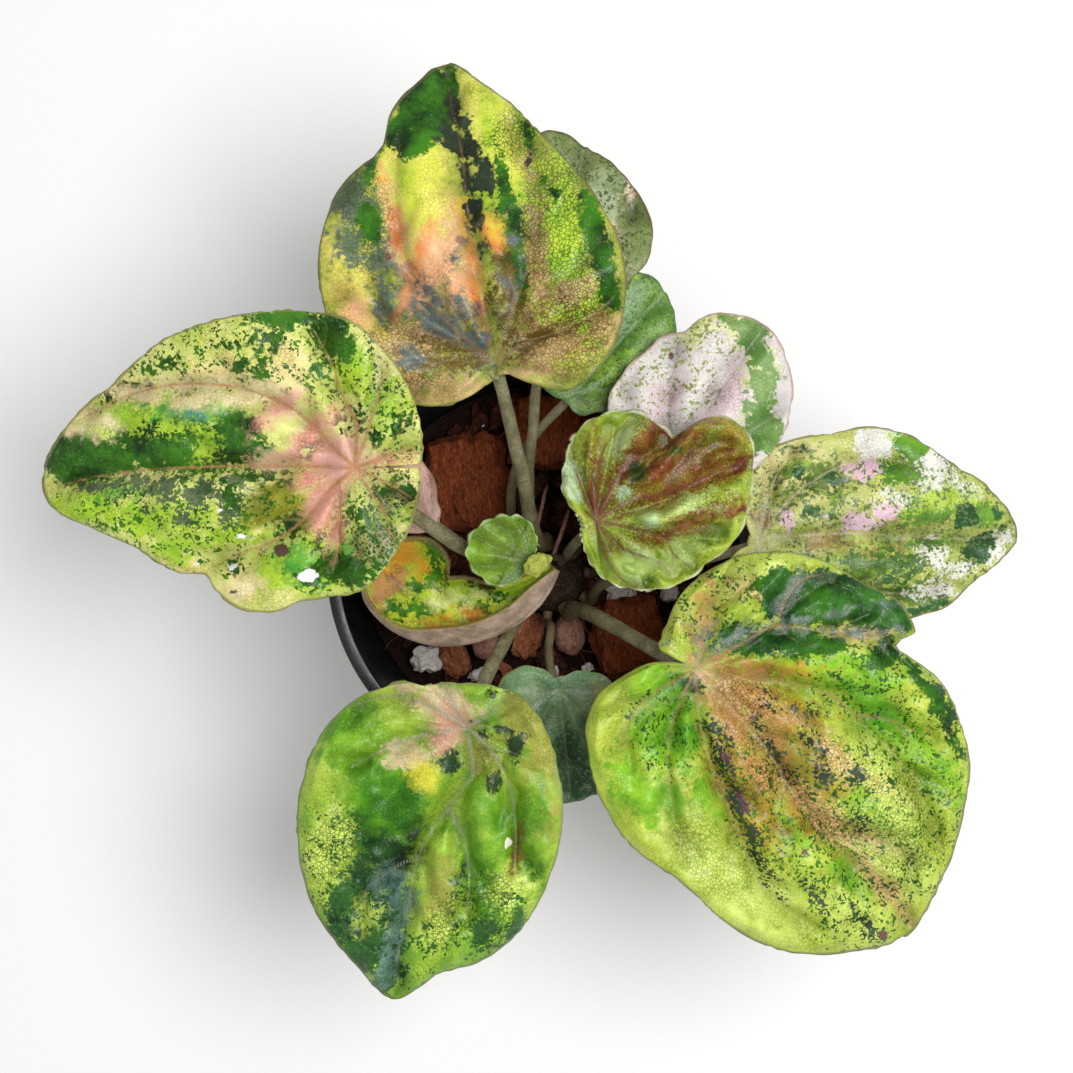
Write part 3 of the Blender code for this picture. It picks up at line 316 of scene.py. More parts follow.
             [(8, -22, 8, 6, 0), (15.6, 14.3, 9, 6, 0), (17, -12, 8, 8, 0), (26, 10, 6, 5, 0), (10, -18, 6, 5, 0), (12, 5, 5, 3, 0)]),
            ("richGreen", ("5c9c14", "33700e"), 0.9, 0.4,
             [(20, -10.8, 10, 7.4, 0), (31, 13.8, 4.4, 3.4, 0), (24, 20, 5, 2.4, 0)]),
            # painted shade: the dark bottom of the blade's hollow
            ("deepHollowShade", ("1f4c10", "0c2808"), 0.8, 0.3, [(28, -8.5, 4, 7, 0), (24, -4.4, 3.4, 2.2, 0), (27, -14, 2.4, 2, 0)]),
            ("deepGreen", ("38682c", "143818"), 0.9, 0.8,
             [(42, -5, 7, 4, 0), (37, -12, 6, 5, 0), (40.8, -13.1, 9, 4, 0), (48, -8, 6, 4, 0), (51, -2, 5, 3, 0), (36, 20, 5, 2, 0), (38, 14, 3, 2, 0)]),
            # painted reflection: a slate-blue sheen on the dark green
            ("slateSheen", ("6c8c7c", "44645a"), 1.0, 0.8, [(35, -6.7, 5, 3.6, 0), (46, -2.4, 7, 1.6, 0), (38, -1.5, 4, 1.6, 0)]),
            ("paleLime", ("d0e468", "b4d04c"), 0.9, 1.4,
             [(41, -9, 3, 2.4, 0), (30.6, -19.9, 7, 4, 0), (40.7, 4.5, 3, 3, 0), (28.4, 17, 4, 4, 0)]),
            ("cream", ("e0d0a0", "ccb880"), 1.0, 0.9, [(8.6, -9.2, 3, 5, 0), (-4, -7, 3, 7, 0)]),
            ("gold", ("dcd848", "c8c438"), 0.8, 0.6, [(11.4, -5.6, 2.4, 3, 0)]),
            ("buff", ("dcae90", "cc9878"), 1.0, 0.7, [(0.5, -3.5, 4, 4, 0), (4, -4, 3, 3, 0)]),
            ("darkNet", ("4c7024", "345420"), 1.0, 0.4, [(34, 15, 8, 6, 0), (30, -19, 8, 4, 0), (38, 6, 5, 4, 0)]),
            ("freckles", ("3c7428", "22501c"), 2.6, 2.3,
             [(36, 14, 9, 8, 0), (42, -12, 9, 8, 0), (47, 4, 6, 6, 0), (30, -18, 8, 6, 0)]),
            ("inkPatches", ("34502c", "203420"), 0.6, 0.4,
             [(7.5, -1.3, 2.6, 2, 0), (0.2, 3.8, 1.1, 1.1, 0), (-10.3, 5.5, 1.2, 2, 0), (-7.7, 3.4, 1.2, 1.2, 0),
              (1.5, 10.4, 2.6, 1.7, 0), (8.9, 8.2, 1.9, 1.2, 0), (29.3, 6.6, 2.2, 0.9, 0), (-1.5, 7, 0.6, 3, 0)]),
            ("rustStreak", ("8c7030", "6c5424"), 0.6, 0.4, [(21.5, 15.9, 4.4, 0.7, 0)]),
        ],
        "dots": [("chalk", "f6f0dc", [(19.9, 13.9, 1, 0.8, 0)])],
    },
    "leaf_front_right": {
        "stalk": (30.6, -19.9, 110.0), "heading": 307.9, "rows": 84,
        "outline": [(0, 66.5), (9, 64), (21, 60.3), (33, 56.4), (43, 51.5), (49, 47.8), (55, 41.8),
                    (59, 38.8), (61.5, 43.3), (68, 42.5), (79, 36.8), (92, 32.7), (110, 27),
                    (121, 23.7), (135, 19.5), (150, 15.8), (170, 11.7), (186, 9.8), (205, 8.5),
                    (214, 3), (226, 9.4), (237, 14), (248, 20.5), (269, 27), (287, 32.2), (302, 37.3),
                    (312, 40), (317, 41.6), (329, 50.4), (339, 57.9), (350, 63)],
        "form": {"slope": -0.02, "roll": -0.02, "arch": 0.32, "bow": 0.24, "fold": 0.04,
                 "wave": (1.6, 7, 40), "drop": 5.0, "puff": 1.6},
        "ribs": [0, 33, 66, 118, -30, -66, -110],
        "swell": 2.2, "tissue": ("bccc4c", "98b43a"), "vein": ("c79a66", 0.55), "margin": "8a8f4c",
        "routes": [[(0, 0), (10, 0.5), (20, 1), (30, 0), (40, -0.5), (50, 1), (60, 2.5), (66, 3)],
                   [(0, 0), (6, -4.5), (14, -8.5), (24, -11.5), (34, -14.5), (44, -16), (54, -13)],
                   [(0, 0), (4, -8), (10, -15), (18, -20), (27, -25)],
                   [(0, 0), (-1, -7), (-1, -14), (3, -22)],
                   [(0, 0), (6, 5), (12, 11), (18.5, 16.5), (28, 19), (43, 19.7), (58, 15.7)],
                   [(26, 18.8), (32, 24), (40, 28)],
                   [(42, 0), (46, 6), (52, 9), (57, 10)],
                   [(0, 0), (1.5, 9), (3, 17), (9, 23.5), (15, 29), (20, 33)],
                   [(3, 17), (0, 22), (-1, 27), (2, 33)],
                   [(0, 0), (-5, 6), (-9, 12), (-10, 18)]],
        "paint": [
            ("paleLime", ("cfe070", "b8cc58"), 1.0, 0.8,
             [(36, -22, 10, 5, 0), (46, -17, 9, 5, 0), (54, 6, 9, 7, 0), (58, -6, 6, 5, 0), (24, -23, 7, 4, 0),
              (-7, 22.7, 8, 2.4, 52), (44, 12, 9, 6, 0), (12, -17, 4, 4, 0), (36, 16, 7, 4, 0)]),
            ("meadow", ("94c82c", "6aa420"), 1.3, 1.2,
             [(6, -13, 7, 7, 0), (12, -24, 8, 4, 0), (15, 20, 12, 2.6, 52), (35, -6, 6, 3.4, 0), (28, 22, 6, 4, 0),
              (22, 26, 6, 2.6, 30), (44, 24, 8, 4, 0), (50, -1, 5, 3, 0), (-2, -9, 5, 4, 0), (20, -14, 5, 2.4, 0),
              (38, 24, 8, 4, 0), (40, 9, 5, 2, 0)]),
            ("brightGreen", ("7cbc2c", "549c20"), 0.9, 0.4,
             [(29.6, 23, 4, 2.8, 0), (3, -6, 4, 3.4, 0), (17, -20, 4, 2.2, 0), (9, -10, 3, 4, 20), (21, 21, 5, 1.6, 45)]),
            ("ochre", ("b8a02c", "7c7018"), 1.0, 0.9,
             [(26.5, 5.5, 7.6, 4.6, 0), (33, 6, 5, 3.6, 0), (10.5, 13, 7, 1.8, 50), (24, -10.6, 7, 1.6, -15),
              (31, -9.5, 7, 2.2, 0), (19, 10.5, 6, 2, 30), (36, -1.6, 4, 2.0, 0), (22, -5, 6, 1.6, 0)]),
            ("clay", ("cfa064", "b4844a"), 1.2, 1.0,
             [(11.5, 4.6, 10, 3.6, 10), (13, -1.3, 10, 2.6, 0), (22, 3, 6, 3, 0), (23, -2.6, 6, 2.6, 0), (6, 8, 4, 1.4, 40),
              (-7.5, 7.2, 6, 1.5, -48), (30, 0.4, 6, 1.4, 0), (30, 10.6, 5, 1.8, 0), (17, -5.6, 5, 1.2, 0)]),
            ("peach", ("f0cc98", "e6b67c"), 0.9, 0.8,
             [(40, 2.6, 6.6, 1.8, 0), (54, 2.5, 9, 1.2, 0), (34, 1.4, 4, 1.6, 0), (47, 6, 4, 0.9, 30), (30, 9.4, 4, 1.6, 0),
              (14, 29.6, 4.4, 2.2, 52), (36, 13, 5, 0.9, 20), (-5, 19, 4, 1.5, 52), (8, 1, 5, 1.0, 5)]),
            ("deepGreen", ("387418", "103a10"), 0.8, 0.6,
             [(5, 28.4, 15, 5.4, 52), (6.3, 16, 12, 2.9, 50), (14, 35.5, 8, 3.4, 45), (33, 33.6, 9, 1.6, 7),
              (-1, 10, 5, 2, 60), (20, 31, 3, 4, 0), (38, 32, 6, 1.2, -10), (1, -3.4, 2.8, 1.6, 0), (0, 24, 8, 5, 52)]),
            ("umber", ("ac8a2c", "7c641c"), 1.0, 0.9,
             [(27, 5.5, 7, 3.2, 0), (31, -7, 6, 2, 0), (20, 10, 5, 1.4, 0), (24, -7, 4, 1.4, 0)]),
            ("brownNet", ("a47c3c", "7c5c24"), 1.0, 0.6, [(20, 3, 16, 8, 0), (36, 2, 14, 4, 0)]),
            ("paleNet", ("c4b868", "a89c54"), 1.0, 0.4, [(-9, 6, 3, 7, -20)]),
            ("darkNet", ("94a83c", "7c9030"), 1.0, 0.4, [(46, 14, 14, 12, 0), (30, 8, 8, 6, 0), (30, -20, 12, 6, 0)]),
            ("freckles", ("487c20", "284c14"), 2.2, 2.1,
             [(48, 16, 18, 14, 0), (56, -4, 10, 10, 0), (6, -13, 8, 7, 0), (34, -2, 16, 12, 0), (24, 24, 18, 7, 10),
              (-8, 10, 5, 12, 0)]),
            ("inkPatches", ("40503c", "283428"), 0.8, 1.4,
             [(18, -7.6, 4.6, 1.3, -15), (25.5, -9.8, 5, 1.2, -16), (32, -11.4, 4, 0.8, -14), (37, -13, 4, 0.8, -8),
              (26, 8.6, 2.0, 1.0, 10), (32, 6.6, 1.6, 1.0, -10), (35, 12, 1.8, 0.9, 0),
              (58, -5, 2.4, 0.8, 0), (2.4, -2.6, 1.6, 1.2, 0), (14, 7.2, 1.3, 0.8, 0),
              (16.4, 2.8, 1, 0.8, 0), (50, -9, 2, 0.8, 0), (20, 12, 2, 0.9, 40), (12, -4.4, 1.6, 0.8, 0),
              (44, 6.4, 1.6, 0.8, 0), (28, 1.4, 1.6, 0.7, 0), (21.6, 1.6, 2, 0.6, 0)]),
            ("plum", ("6c4450", "543844"), 0.4, 0.3, [(19.6, -7.0, 3, 0.5, -15), (25.6, -9, 2.4, 0.5, -20)]),
            ("ash", ("8c9a90", "5c6c66"), 0.8, 0.7,
             [(2.6, 17, 6.6, 0.3, 62), (9, 23.6, 6, 0.3, 50), (-0.6, 23, 3.4, 0.7, 110), (-0.6, 8, 4, 0.8, 80),
              (14, 28.6, 3, 1, 45)]),
        ],
        "dots": [("scab", "6d5048", [(63.4, -3.4, 1.2, 1.0, 0), (41.5, -5.6, 0.8, 0.6, 0), (14.6, 2.6, 0.7, 0.6, 0)])],
    },
    "leaf_young_red": {
        "stalk": (10.9, 8.8, 107.5), "heading": 26.2, "rows": 64,
        "outline": [(0, 34.7), (4, 35), (10, 34), (16, 31), (19, 27.5), (21, 22.7), (28, 22.9),
                    (37, 23.3), (53, 22.4), (71, 19.5), (90, 13.8), (112, 9.2), (134, 4.4), (165, 3.3),
                    (195, 4.2), (218, 5.9), (235, 8.5), (258, 13), (279, 16.9), (297, 20.9),
                    (314, 24.1), (327, 28.4), (338, 30.3), (349, 32.4)],
        "form": {"slope": 0.02, "roll": -0.04, "arch": 0.15, "bow": 0.1, "fold": 0.0,
                 "wave": (0.7, 9, 0), "drop": 3.0, "puff": 2.8, "teeth": (26, 0.5)},
        "ribs": [-10, 20, 52, 84, 118, -42, -74, -112],
        "swell": 3.0, "tissue": ("b0c448", "84a030"), "net": "7c4c30", "vein": ("8a5240", 0.85), "margin": "e4e8c4",
        "routes": [[(0, 0), (8.5, 0.5), (14.6, -1.1), (23.1, -1.7), (33, -2.1)],
                   [(0, 0), (4.6, 3.8), (10.5, 7.5), (15.9, 7.4), (21.1, 9.2)],
                   [(0, 0), (4.6, 8.2), (8.1, 12.3), (12.8, 14.4), (17, 16)],
                   [(0, 0), (0.5, 7.3), (1.4, 12.7), (4, 17)],
                   [(0, 0), (7.3, -5.5), (10.9, -8.7), (15.3, -10.2), (21.4, -12.5)],
                   [(10.9, -8.7), (11, -13), (13, -17)],
                   [(0, 0), (1, -4), (3, -8), (7, -12), (10, -16)],
                   [(0, 0), (-1, -5), (-1, -11), (2, -17)],
                   [(14.6, -1.1), (19, 2), (25, 3), (30, 3)]],
        "paint": [
            ("oliveGold", ("a4942c", "6c6c1c"), 0.9, 1.0, [(20, 4, 12, 8, 0), (27, 2, 7, 6, 0), (16, -8, 6, 1.6, 0), (12, 9, 4, 1.6, 20)]),
            ("darkLime", ("7c9c30", "5c7c24"), 0.8, 1.0,
             [(2, 5, 2, 4, -10), (19, -12, 5, 1.8, 0), (4, -15, 2, 4, 0), (24, 9, 4, 2, 0), (27, 6, 3, 2, 0)]),
            ("redBrown", ("94542c", "602c18"), 0.8, 1.2,
             [(18, 10.6, 4, 1.6, 0), (14, 8.6, 6, 0.9, 15), (17, 3.4, 3.6, 2.4, 0), (24, 0.4, 3, 1.2, 0), (30, -2.6, 3, 1.2, 0),
              (21, -9.4, 7, 1.2, -10), (4, 2.6, 3, 1.2, 40), (9, 6, 3, 1.2, 40), (16, -1.2, 12, 0.9, -4), (22, 7, 4, 1.0, 0),
              (3.6, 8, 0.8, 5, -25), (13, -9, 4, 0.7, -10)]),
            ("redNet", ("8c4c2c", "6c3418"), 1.2, 0.4, [(18, 4, 16, 10, 0), (14, -6, 12, 3, 0), (6, 6, 6, 6, 0)]),
            ("paleGreen", ("c4dc84", "acc868"), 0.6, 0.4,
             [(11.6, 12, 4.4, 1.5, 32), (10, -4.7, 3, 2, -30), (13, -12.5, 3.6, 2.4, 0), (4, -11, 3, 3, 0), (18, -5, 4, 1.4, 0)]),
            ("milk", ("d4e8c0", "b8d8a4"), 0.5, 0.4,
             [(0, 12, 1.4, 3.4, 0), (-1.4, 8, 1.1, 2.6, 8), (12, 12.4, 2.4, 0.6, 35), (7.3, 2.6, 1.3, 1.1, 0), (10, -4.7, 1.4, 0.9, -30)]),
            # painted shade: dark olive patches in the blade's hollows
            ("hollowShade", ("4c5c20", "344418"), 0.5, 0.4, [(11.7, 4.7, 1.6, 2.2, 0), (20, 5.6, 1.8, 0.8, 0)]),
        ],
        "dots": [],
    },
    "leaf_white": {
        "stalk": (26.0, 20.7, 94.0), "heading": 55.0, "rows": 54,
        "outline": [(0, 34.3), (14, 32.7), (22, 30.5), (28, 27), (38, 25.7), (45, 23.5), (60, 20.8),
                    (76, 18.3), (90, 15), (125, 10.5), (150, 7.5), (180, 4), (205, 5.5), (235, 8.5),
                    (265, 12), (290, 15), (304, 18.6), (315, 23), (329, 27.4), (344, 31.6)],
        "form": {"slope": 0.02, "roll": 0.0, "arch": 0.2, "bow": 0.12, "fold": 0.03,
                 "wave": (1.1, 5, 70), "drop": 0.5, "puff": 0.9},
        "ribs": [0, 38, 80, -38, -80],
        "swell": 0.6, "tissue": ("e2dcd8", "d2cac6"), "vein": ("cdb9ae", 0.35), "margin": "b99c90",
        "paint": [
            ("blush", ("e4d0d4", "d6bec4"), 1.2, 0.8, [(20, -2, 10, 3, 0), (10, 8, 6, 3, 0), (31, 10, 3, 4, 0)]),
            ("creamFleck", ("dcdca4", "c8cc8c"), 1.0, 1.3,
             [(27, -4, 4, 3, 0), (26, 10.7, 4, 3, 0), (17, -10, 4, 3, 0), (30, 3, 3, 6, 0)]),
            ("green", ("7c9e50", "5a843c"), 0.9, 0.9,
             [(31.6, 0.7, 3.6, 3.6, 0), (31, 6, 1.8, 4, 0), (28.6, -2.2, 3, 2.4, 0), (24.2, -6.5, 3.4, 3.4, 0),
              (15.7, -12.1, 4.8, 4.4, 0), (19.3, -7, 1.6, 1.4, 0), (21, -9, 3, 2, 0)]),
            ("freckles", ("9aa45c", "7c8c4c"), 1.8, 2.2, [(24, 8, 9, 7, 0), (8, 14, 8, 6, 0), (15, 8, 8, 8, 0)]),
        ],
        "dots": [("scab", "6b4a3a", [(18, 12, 0.8, 0.7, 0)])],
    },
    "leaf_right": {
        "stalk": (44.4, 4.0, 90.0), "heading": 2.0, "rows": 66,
        "outline": [(0, 53.5), (5, 52.4), (10, 50), (16, 46.6), (21, 43.3), (29, 40.5), (41, 35.3),
                    (56, 27.1), (75, 21.3), (88, 18), (102, 13), (114, 6), (122, 2.6), (180, 2.2),
                    (198, 5), (220, 9), (245, 13.5), (270, 18), (292, 22), (312, 27), (328, 32.5),
                    (335, 36.5), (340, 40.9), (347, 44.3), (355, 50.5)],
        "form": {"slope": 0.0, "roll": -0.03, "arch": 0.34, "bow": 0.22, "fold": 0.05,
                 "wave": (1.2, 6, 10), "drop": 0.5, "puff": 1.1},
        "ribs": [0, 34, 70, -32, -66, -108],
        "swell": 0.9, "tissue": ("c4c870", "9cac50"), "vein": ("d9c9a0", 0.5), "margin": "7c7440",
        "routes": [[(0, 1.3), (15, 2), (30, 1), (40, 0), (52, 0)],
                   [(0, 0), (6, 8), (14, 14), (24, 17), (33, 15)],
                   [(0, 0), (2, 8), (5, 15), (10, 20)],
                   [(0, 0), (8, -5), (18, -9), (30, -11), (40, -10)],
                   [(0, 0), (4, -8), (10, -15), (17, -20)],
                   [(0, 0), (-1, -7), (-2, -13)]],
        "paint": [
            ("straw", ("dcd494", "c8bc74"), 1.1, 1.2,
             [(8, 16, 8, 5, 0), (15, 12, 6, 4, 0), (6, -10, 8, 6, 0), (16, -14, 9, 4, 0), (24, -18, 6, 3, 0)]),
            ("mottledGreen", ("9cb44c", "709434"), 1.3, 1.5,
             [(25, -5, 8, 4, 0), (14, -5, 6, 2.4, 0), (10, 16, 3, 2, 0), (16, 10, 3, 2, 0),
              (29, -11, 6, 2.4, 0), (18, -12, 4, 2, 0)]),
            ("brown", ("a88c50", "84703c"), 1.0, 1.0, [(14.7, 0, 5, 1.6, 0), (2, 5.5, 3, 1.4, -40), (31.5, 3.4, 4, 0.8, 0), (24, -3, 3, 1.4, 0)]),
            ("mossFlecks", ("6a8e34", "3c6420"), 1.0, 2.4,
             [(25, -5, 9, 3, 0), (38, 6, 5, 1.4, 0), (13, 13, 5, 2, 0), (30, -11, 6, 2, 0)]),
            ("chalkWhite", ("ecebe2", "dcdcd0"), 0.9, 0.9,
             [(24.7, 20.1, 4.4, 3.4, 0), (27.4, 22.2, 5, 1.6, 0), (35.5, 14.2, 5, 4.4, -30), (30, 8.2, 3, 1.6, 0),
              (27, 9.9, 1.4, 1.2, 0), (42, 10.5, 4, 1.8, -35), (36.2, -2.5, 3.4, 2.6, 0), (41, -6.5, 3.6, 1.8, 0),
              (35.9, -10.4, 4.5, 1.4, 0), (51, 0, 2.4, 1.4, 0), (48.4, -3, 1.8, 2.4, 0)]),
            ("yellowGreen", ("b8d048", "8cb42c"), 1.0, 0.9,
             [(37.8, 7.9, 7, 2.6, 0), (34.6, 6.3, 4, 2, 0), (33, 22, 3, 1.4, 0), (28, 14, 3, 2, 0)]),
            ("grass", ("6ca02c", "447a1c"), 0.9, 0.8,
             [(32, 19.2, 3.2, 3.4, 0), (30, 13.8, 4, 2.6, 0), (36, 4.6, 5, 1.2, 0), (46.8, 4.5, 2.8, 2.2, 0), (37, -1, 3, 1, 0)]),
            ("pineGreen", ("3c6834", "244c28"), 0.8, 0.7,
             [(43.2, 4.7, 2.8, 2.6, 0), (50, 3.9, 1.6, 2, 0), (45.4, -2.2, 3, 3, 0), (35, -13.6, 5, 1.2, 15), (12.5, 6.1, 2.5, 1.2, 0),
              (15.3, 4.4, 1, 1.6, 0), (16.4, 12.4, 1.5, 1.4, 0), (9.4, 14.3, 0.9, 1.3, 0), (9, 19.7, 1.6, 0.7, 0), (27, -8, 2, 1, 0)]),
            ("pink", ("e6c8d2", "d6aebc"), 0.7, 0.6,
             [(22, 14.6, 3.6, 2.2, 0), (21, 4.2, 5, 1.6, 0), (26, 5.8, 3, 1.8, 0), (6, 5.4, 1.5, 2.2, 0)]),
            ("freckles", ("748450", "56703c"), 2.0, 2.3, [(12, 10, 14, 9, 0), (14, -9, 16, 10, 0), (36, 2, 14, 14, 0)]),
        ],
        "dots": [],
    },
    "leaf_back_grey": {
        "stalk": (3.4, 53.1, 100.0), "heading": 80.0, "rows": 40,
        "outline": [(0, 31.5), (12, 34.2), (20, 33.6), (30, 31), (56, 24), (90, 18), (130, 10.5),
                    (150, 7), (175, 3.5), (200, 4.5), (225, 8), (260, 11.5), (285, 13.5), (296, 16),
                    (304, 20), (315, 23.5), (330, 26.3), (345, 29.1)],
        "form": {"slope": -0.06, "roll": 0.0, "arch": 0.25, "bow": 0.15, "fold": 0.03,
                 "wave": (0.9, 5, 0), "drop": 0.5, "puff": 0.9},
        "ribs": [0, 38, 80, -38, -80],
        "swell": 0.6, "tissue": ("8a985c", "62743c"), "vein": ("a09a78", 0.45), "margin": "6a5438",
        "paint": [
            ("silver", ("a8b48c", "8c9c74"), 1.2, 1.4, [(20, -5, 7, 4, 0), (10, -8, 5, 3, 0), (24, 4, 5, 3, 0)]),
            ("cream", ("e6cdb8", "d6b49c"), 0.9, 0.6, [(13, -9.5, 3, 1.8, 30), (25, -10, 3, 1.2, 0)]),
            ("freckles", ("5a6c40", "4a5c38"), 1.4, 2.1, [(16, 0, 18, 16, 0)]),
        ],
        "dots": [],
    },
    "leaf_back_green": {
        "stalk": (6.6, 34.7, 90.0), "heading": 48.4, "rows": 40,
        "outline": [(0, 28.8), (8, 29.5), (12, 28.9), (20, 28), (42, 23), (70, 16), (100, 9.5),
                    (130, 4.5), (160, 2.2), (200, 2.2), (225, 3.2), (250, 4.7), (277, 6.2), (290, 9),
                    (308, 14.5), (325, 20), (337, 23.5), (351, 27.2)],
        "form": {"slope": -0.06, "roll": 0.0, "arch": 0.25, "bow": 0.15, "fold": 0.02,
                 "wave": (0.8, 4, 30), "drop": 0.3, "puff": 0.7},
        "ribs": [0, 40, 84, -40, -84],
        "swell": 0.7, "tissue": ("80a44c", "588434"), "vein": ("8fae7a", 0.4), "margin": "56704a",
        "paint": [
            # painted highlight: a pale bluish sheen
            ("bluishSheen", ("a8bc98", "8ca87c"), 1.2, 0.6, [(20, 4, 6, 3, 0), (13, 6, 3, 2, 0)]),
            ("limeEdge", ("a4cc4c", "86b43a"), 1.0, 0.8, [(8, -3, 5, 1.6, 0), (24, 9, 4, 1.6, -30)]),
            ("freckles", ("5c8434", "487430"), 1.4, 2.1, [(16, 0, 16, 14, 0)]),
        ],
        "dots": [("scab", "3a3028", [(8.4, 1.4, 0.8, 0.7, 0)])],
    },
    "leaf_front_small": {
        "stalk": (3.9, -25.8, 88.0), "heading": 276.6, "rows": 36,
        "outline": [(0, 23.5), (13, 23), (27, 20.5), (55, 15.5), (85, 11.5), (104, 9.4), (124, 6.4),
                    (154, 3.3), (170, 3.1), (190, 3), (210, 5.6), (232, 9.4), (249, 11.6), (262, 12.6),
                    (300, 16), (330, 20), (350, 23.2)],
        "form": {"slope": -0.05, "roll": 0.0, "arch": 0.3, "bow": 0.2, "fold": 0.03,
                 "wave": (0.7, 5, 0), "drop": 0.5, "puff": 0.7},
        "ribs": [0, 40, 84, -40, -84],
        "swell": 0.7, "tissue": ("789a6c", "587c54"), "vein": ("9aa878", 0.55), "margin": "7c7a50",
        "paint": [
            ("silver", ("94a884", "748c6c"), 1.0, 1.0, [(2, 6, 3, 3.4, 0), (1, -7, 3.4, 3, 0), (7, -9, 3, 2, 0)]),
            ("sand", ("b4aa6c", "948c50"), 1.0, 0.9, [(5, 8.5, 4, 2.6, 0), (10, 9, 4, 2, 0)]),
            ("deep", ("4c744c", "38583c"), 0.9, 0.7, [(15, 0, 7, 5, 0), (12, -7, 5, 3, 0), (20, 4, 3, 3, 0)]),
            ("freckles", ("7c9474", "6c8466"), 1.4, 2.0, [(10, 0, 14, 13, 0)]),
        ],
        "dots": [],
    },
    "leaf_new_toothed": {
        "stalk": (-2.9, 0.7, 101.0), "heading": 154.0, "rows": 36,
        "outline": [(0, 12.5), (12, 12.5), (23, 12), (35, 10.8), (50, 9.2), (64, 8), (83, 5.5),
                    (104, 3), (125, 2), (160, 1.6), (200, 1.6), (240, 2.1), (259, 4.2), (273, 5.8),
                    (286, 7.5), (301, 9.4), (316, 10.3), (331, 11.1), (346, 12)],
        "form": {"slope": -0.03, "roll": 0.0, "arch": -1.2, "bow": -1.2, "fold": 0.0,
                 "wave": (0.4, 7, 0), "drop": 0.0, "puff": 0.3, "teeth": (20, 0.5)},
        "ribs": [0, 36, 76, -36, -76],
        "swell": 0.7, "tissue": ("82ac2c", "547e16"), "vein": ("5c7c1c", 0.3), "margin": "b4c884",
        "paint": [
            ("paleTip", ("98bc3c", "7ca42c"), 0.6, 0.6, [(9, 1, 2, 3, 0), (5, 6, 2, 1.2, 0)]),
            ("olive", ("7c9030", "5c7824"), 0.6, 0.6, [(3, 0.6, 2.4, 1.4, 0), (6, -1, 3, 1.0, 0), (5, -5, 2, 0.8, 0)]),
        ],
        "dots": [],
    },
    "leaf_low_pink": {
        "stalk": (-22.6, 9.2, 89.8), "heading": 122.0, "rows": 24,
        "outline": [(0, 18), (15, 17.5), (30, 14.5), (50, 10.5), (75, 7), (100, 4.5), (130, 3), (160, 2.2),
                    (200, 2), (240, 2), (280, 3.2), (307, 4.5), (322, 8.4), (335, 12.1), (350, 15.7)],
        "form": {"slope": -0.03, "roll": 0.0, "arch": 0.3, "bow": 0.3, "fold": 0.02,
                 "wave": (0.5, 5, 0), "drop": 0.2, "puff": 0.5},
        "ribs": [0, 44, -40],
        "swell": 0.4, "tissue": ("e0bcae", "c89c8c"), "vein": ("b07c6c", 0.4), "margin": "8c6a58",
        "paint": [
            ("green", ("6f9a50", "4c7a3c"), 0.8, 0.8, [(12, 3, 4, 2, 0), (6, 4, 3, 2, 0), (15, -2, 2, 2, 0)]),
        ],
        "dots": [],
    },
}
fullReach = 15.0        # shorter reaches are puffed and waved less
ragScale = 6.5          # mm that a layer's edge wanders for noise of 1
paintLimit = 8.0        # mm kept of a patch's distance field
softEdges = {           # half width in mm of the edge of the layers that fade into what lies below
    "lime": 1.6, "brightGreen": 1.3, "sheen": 1.4, "yellowGreen": 1.8, "oliveTan": 1.6, "richGreen": 1.4,
    "deepHollowShade": 1.4, "rustStreak": 0.6, "paleNet": 0.8, "limeFlecks": 0.7, "mossFlecks": 0.5, "umber": 1.2, "darkNet": 1.2, "redNet": 1.2, "brownNet": 1.2, "creamFleck": 0.9, "mottledGreen": 0.8, "brown": 1.0,
    "oliveGold": 1.2, "glint": 0.9, "cellLime": 1.2, "strawYellow": 1.6, "tan": 1.1, "limeHeart": 1.8, "ash": 1.0,
    "oliveBrown": 0.9, "paleLime": 1.6, "leafGreen": 1.2, "meadow": 1.2, "olive": 1.4, "greyOlive": 1.0,
    "butter": 1.8, "peach": 1.6, "orange": 1.0, "bronze": 1.2, "rose": 1.5, "creamRidge": 1.0, "sand": 1.5,
    "buff": 1.3, "gold": 1.2, "clay": 1.5, "ochre": 1.1, "straw": 1.6, "blush": 1.8, "silver": 1.5,
    "bluishSheen": 1.8, "paleGreen": 0.9, "darkLime": 1.0, "redBrown": 1.5, "milk": 0.6, "tanVeins": 0.7,
    "slateSheen": 0.9, "amber": 0.9, "tanBrown": 1.0, "limeEdge": 1.0, "cream": 0.8, "paleTip": 1.0,
}


def outlineRadius(blade, degrees):
    # distance from the stalk to the margin: a monotone cubic through the outline's points
    angles = np.array([point[0] for point in blade["outline"]], dtype=float)
    reach = np.array([point[1] for point in blade["outline"]], dtype=float)
    angles = np.concatenate([angles[-2:] - 360.0, angles, angles[:3] + 360.0])
    reach = np.concatenate([reach[-2:], reach, reach[:3]])
    span = np.diff(angles)
    rise = np.diff(reach) / span
    sameWay = rise[:-1] * rise[1:] > 0
    total = np.where(sameWay, rise[:-1] + rise[1:], 1.0)
    tangent = np.where(sameWay, 2.0 * rise[:-1] * rise[1:] / total, 0.0)
    tangent = np.concatenate([[0.0], tangent, [0.0]])
    degrees = np.mod(np.asarray(degrees, dtype=float), 360.0)
    left = np.clip(np.searchsorted(angles, degrees, side="right") - 1, 0, len(span) - 1)
    width = span[left]
    t = (degrees - angles[left]) / width
    value = (2 * t**3 - 3 * t**2 + 1) * reach[left] + (t**3 - 2 * t**2 + t) * width * tangent[left]
    value += (-2 * t**3 + 3 * t**2) * reach[left + 1] + (t**3 - t**2) * width * tangent[left + 1]
    return value


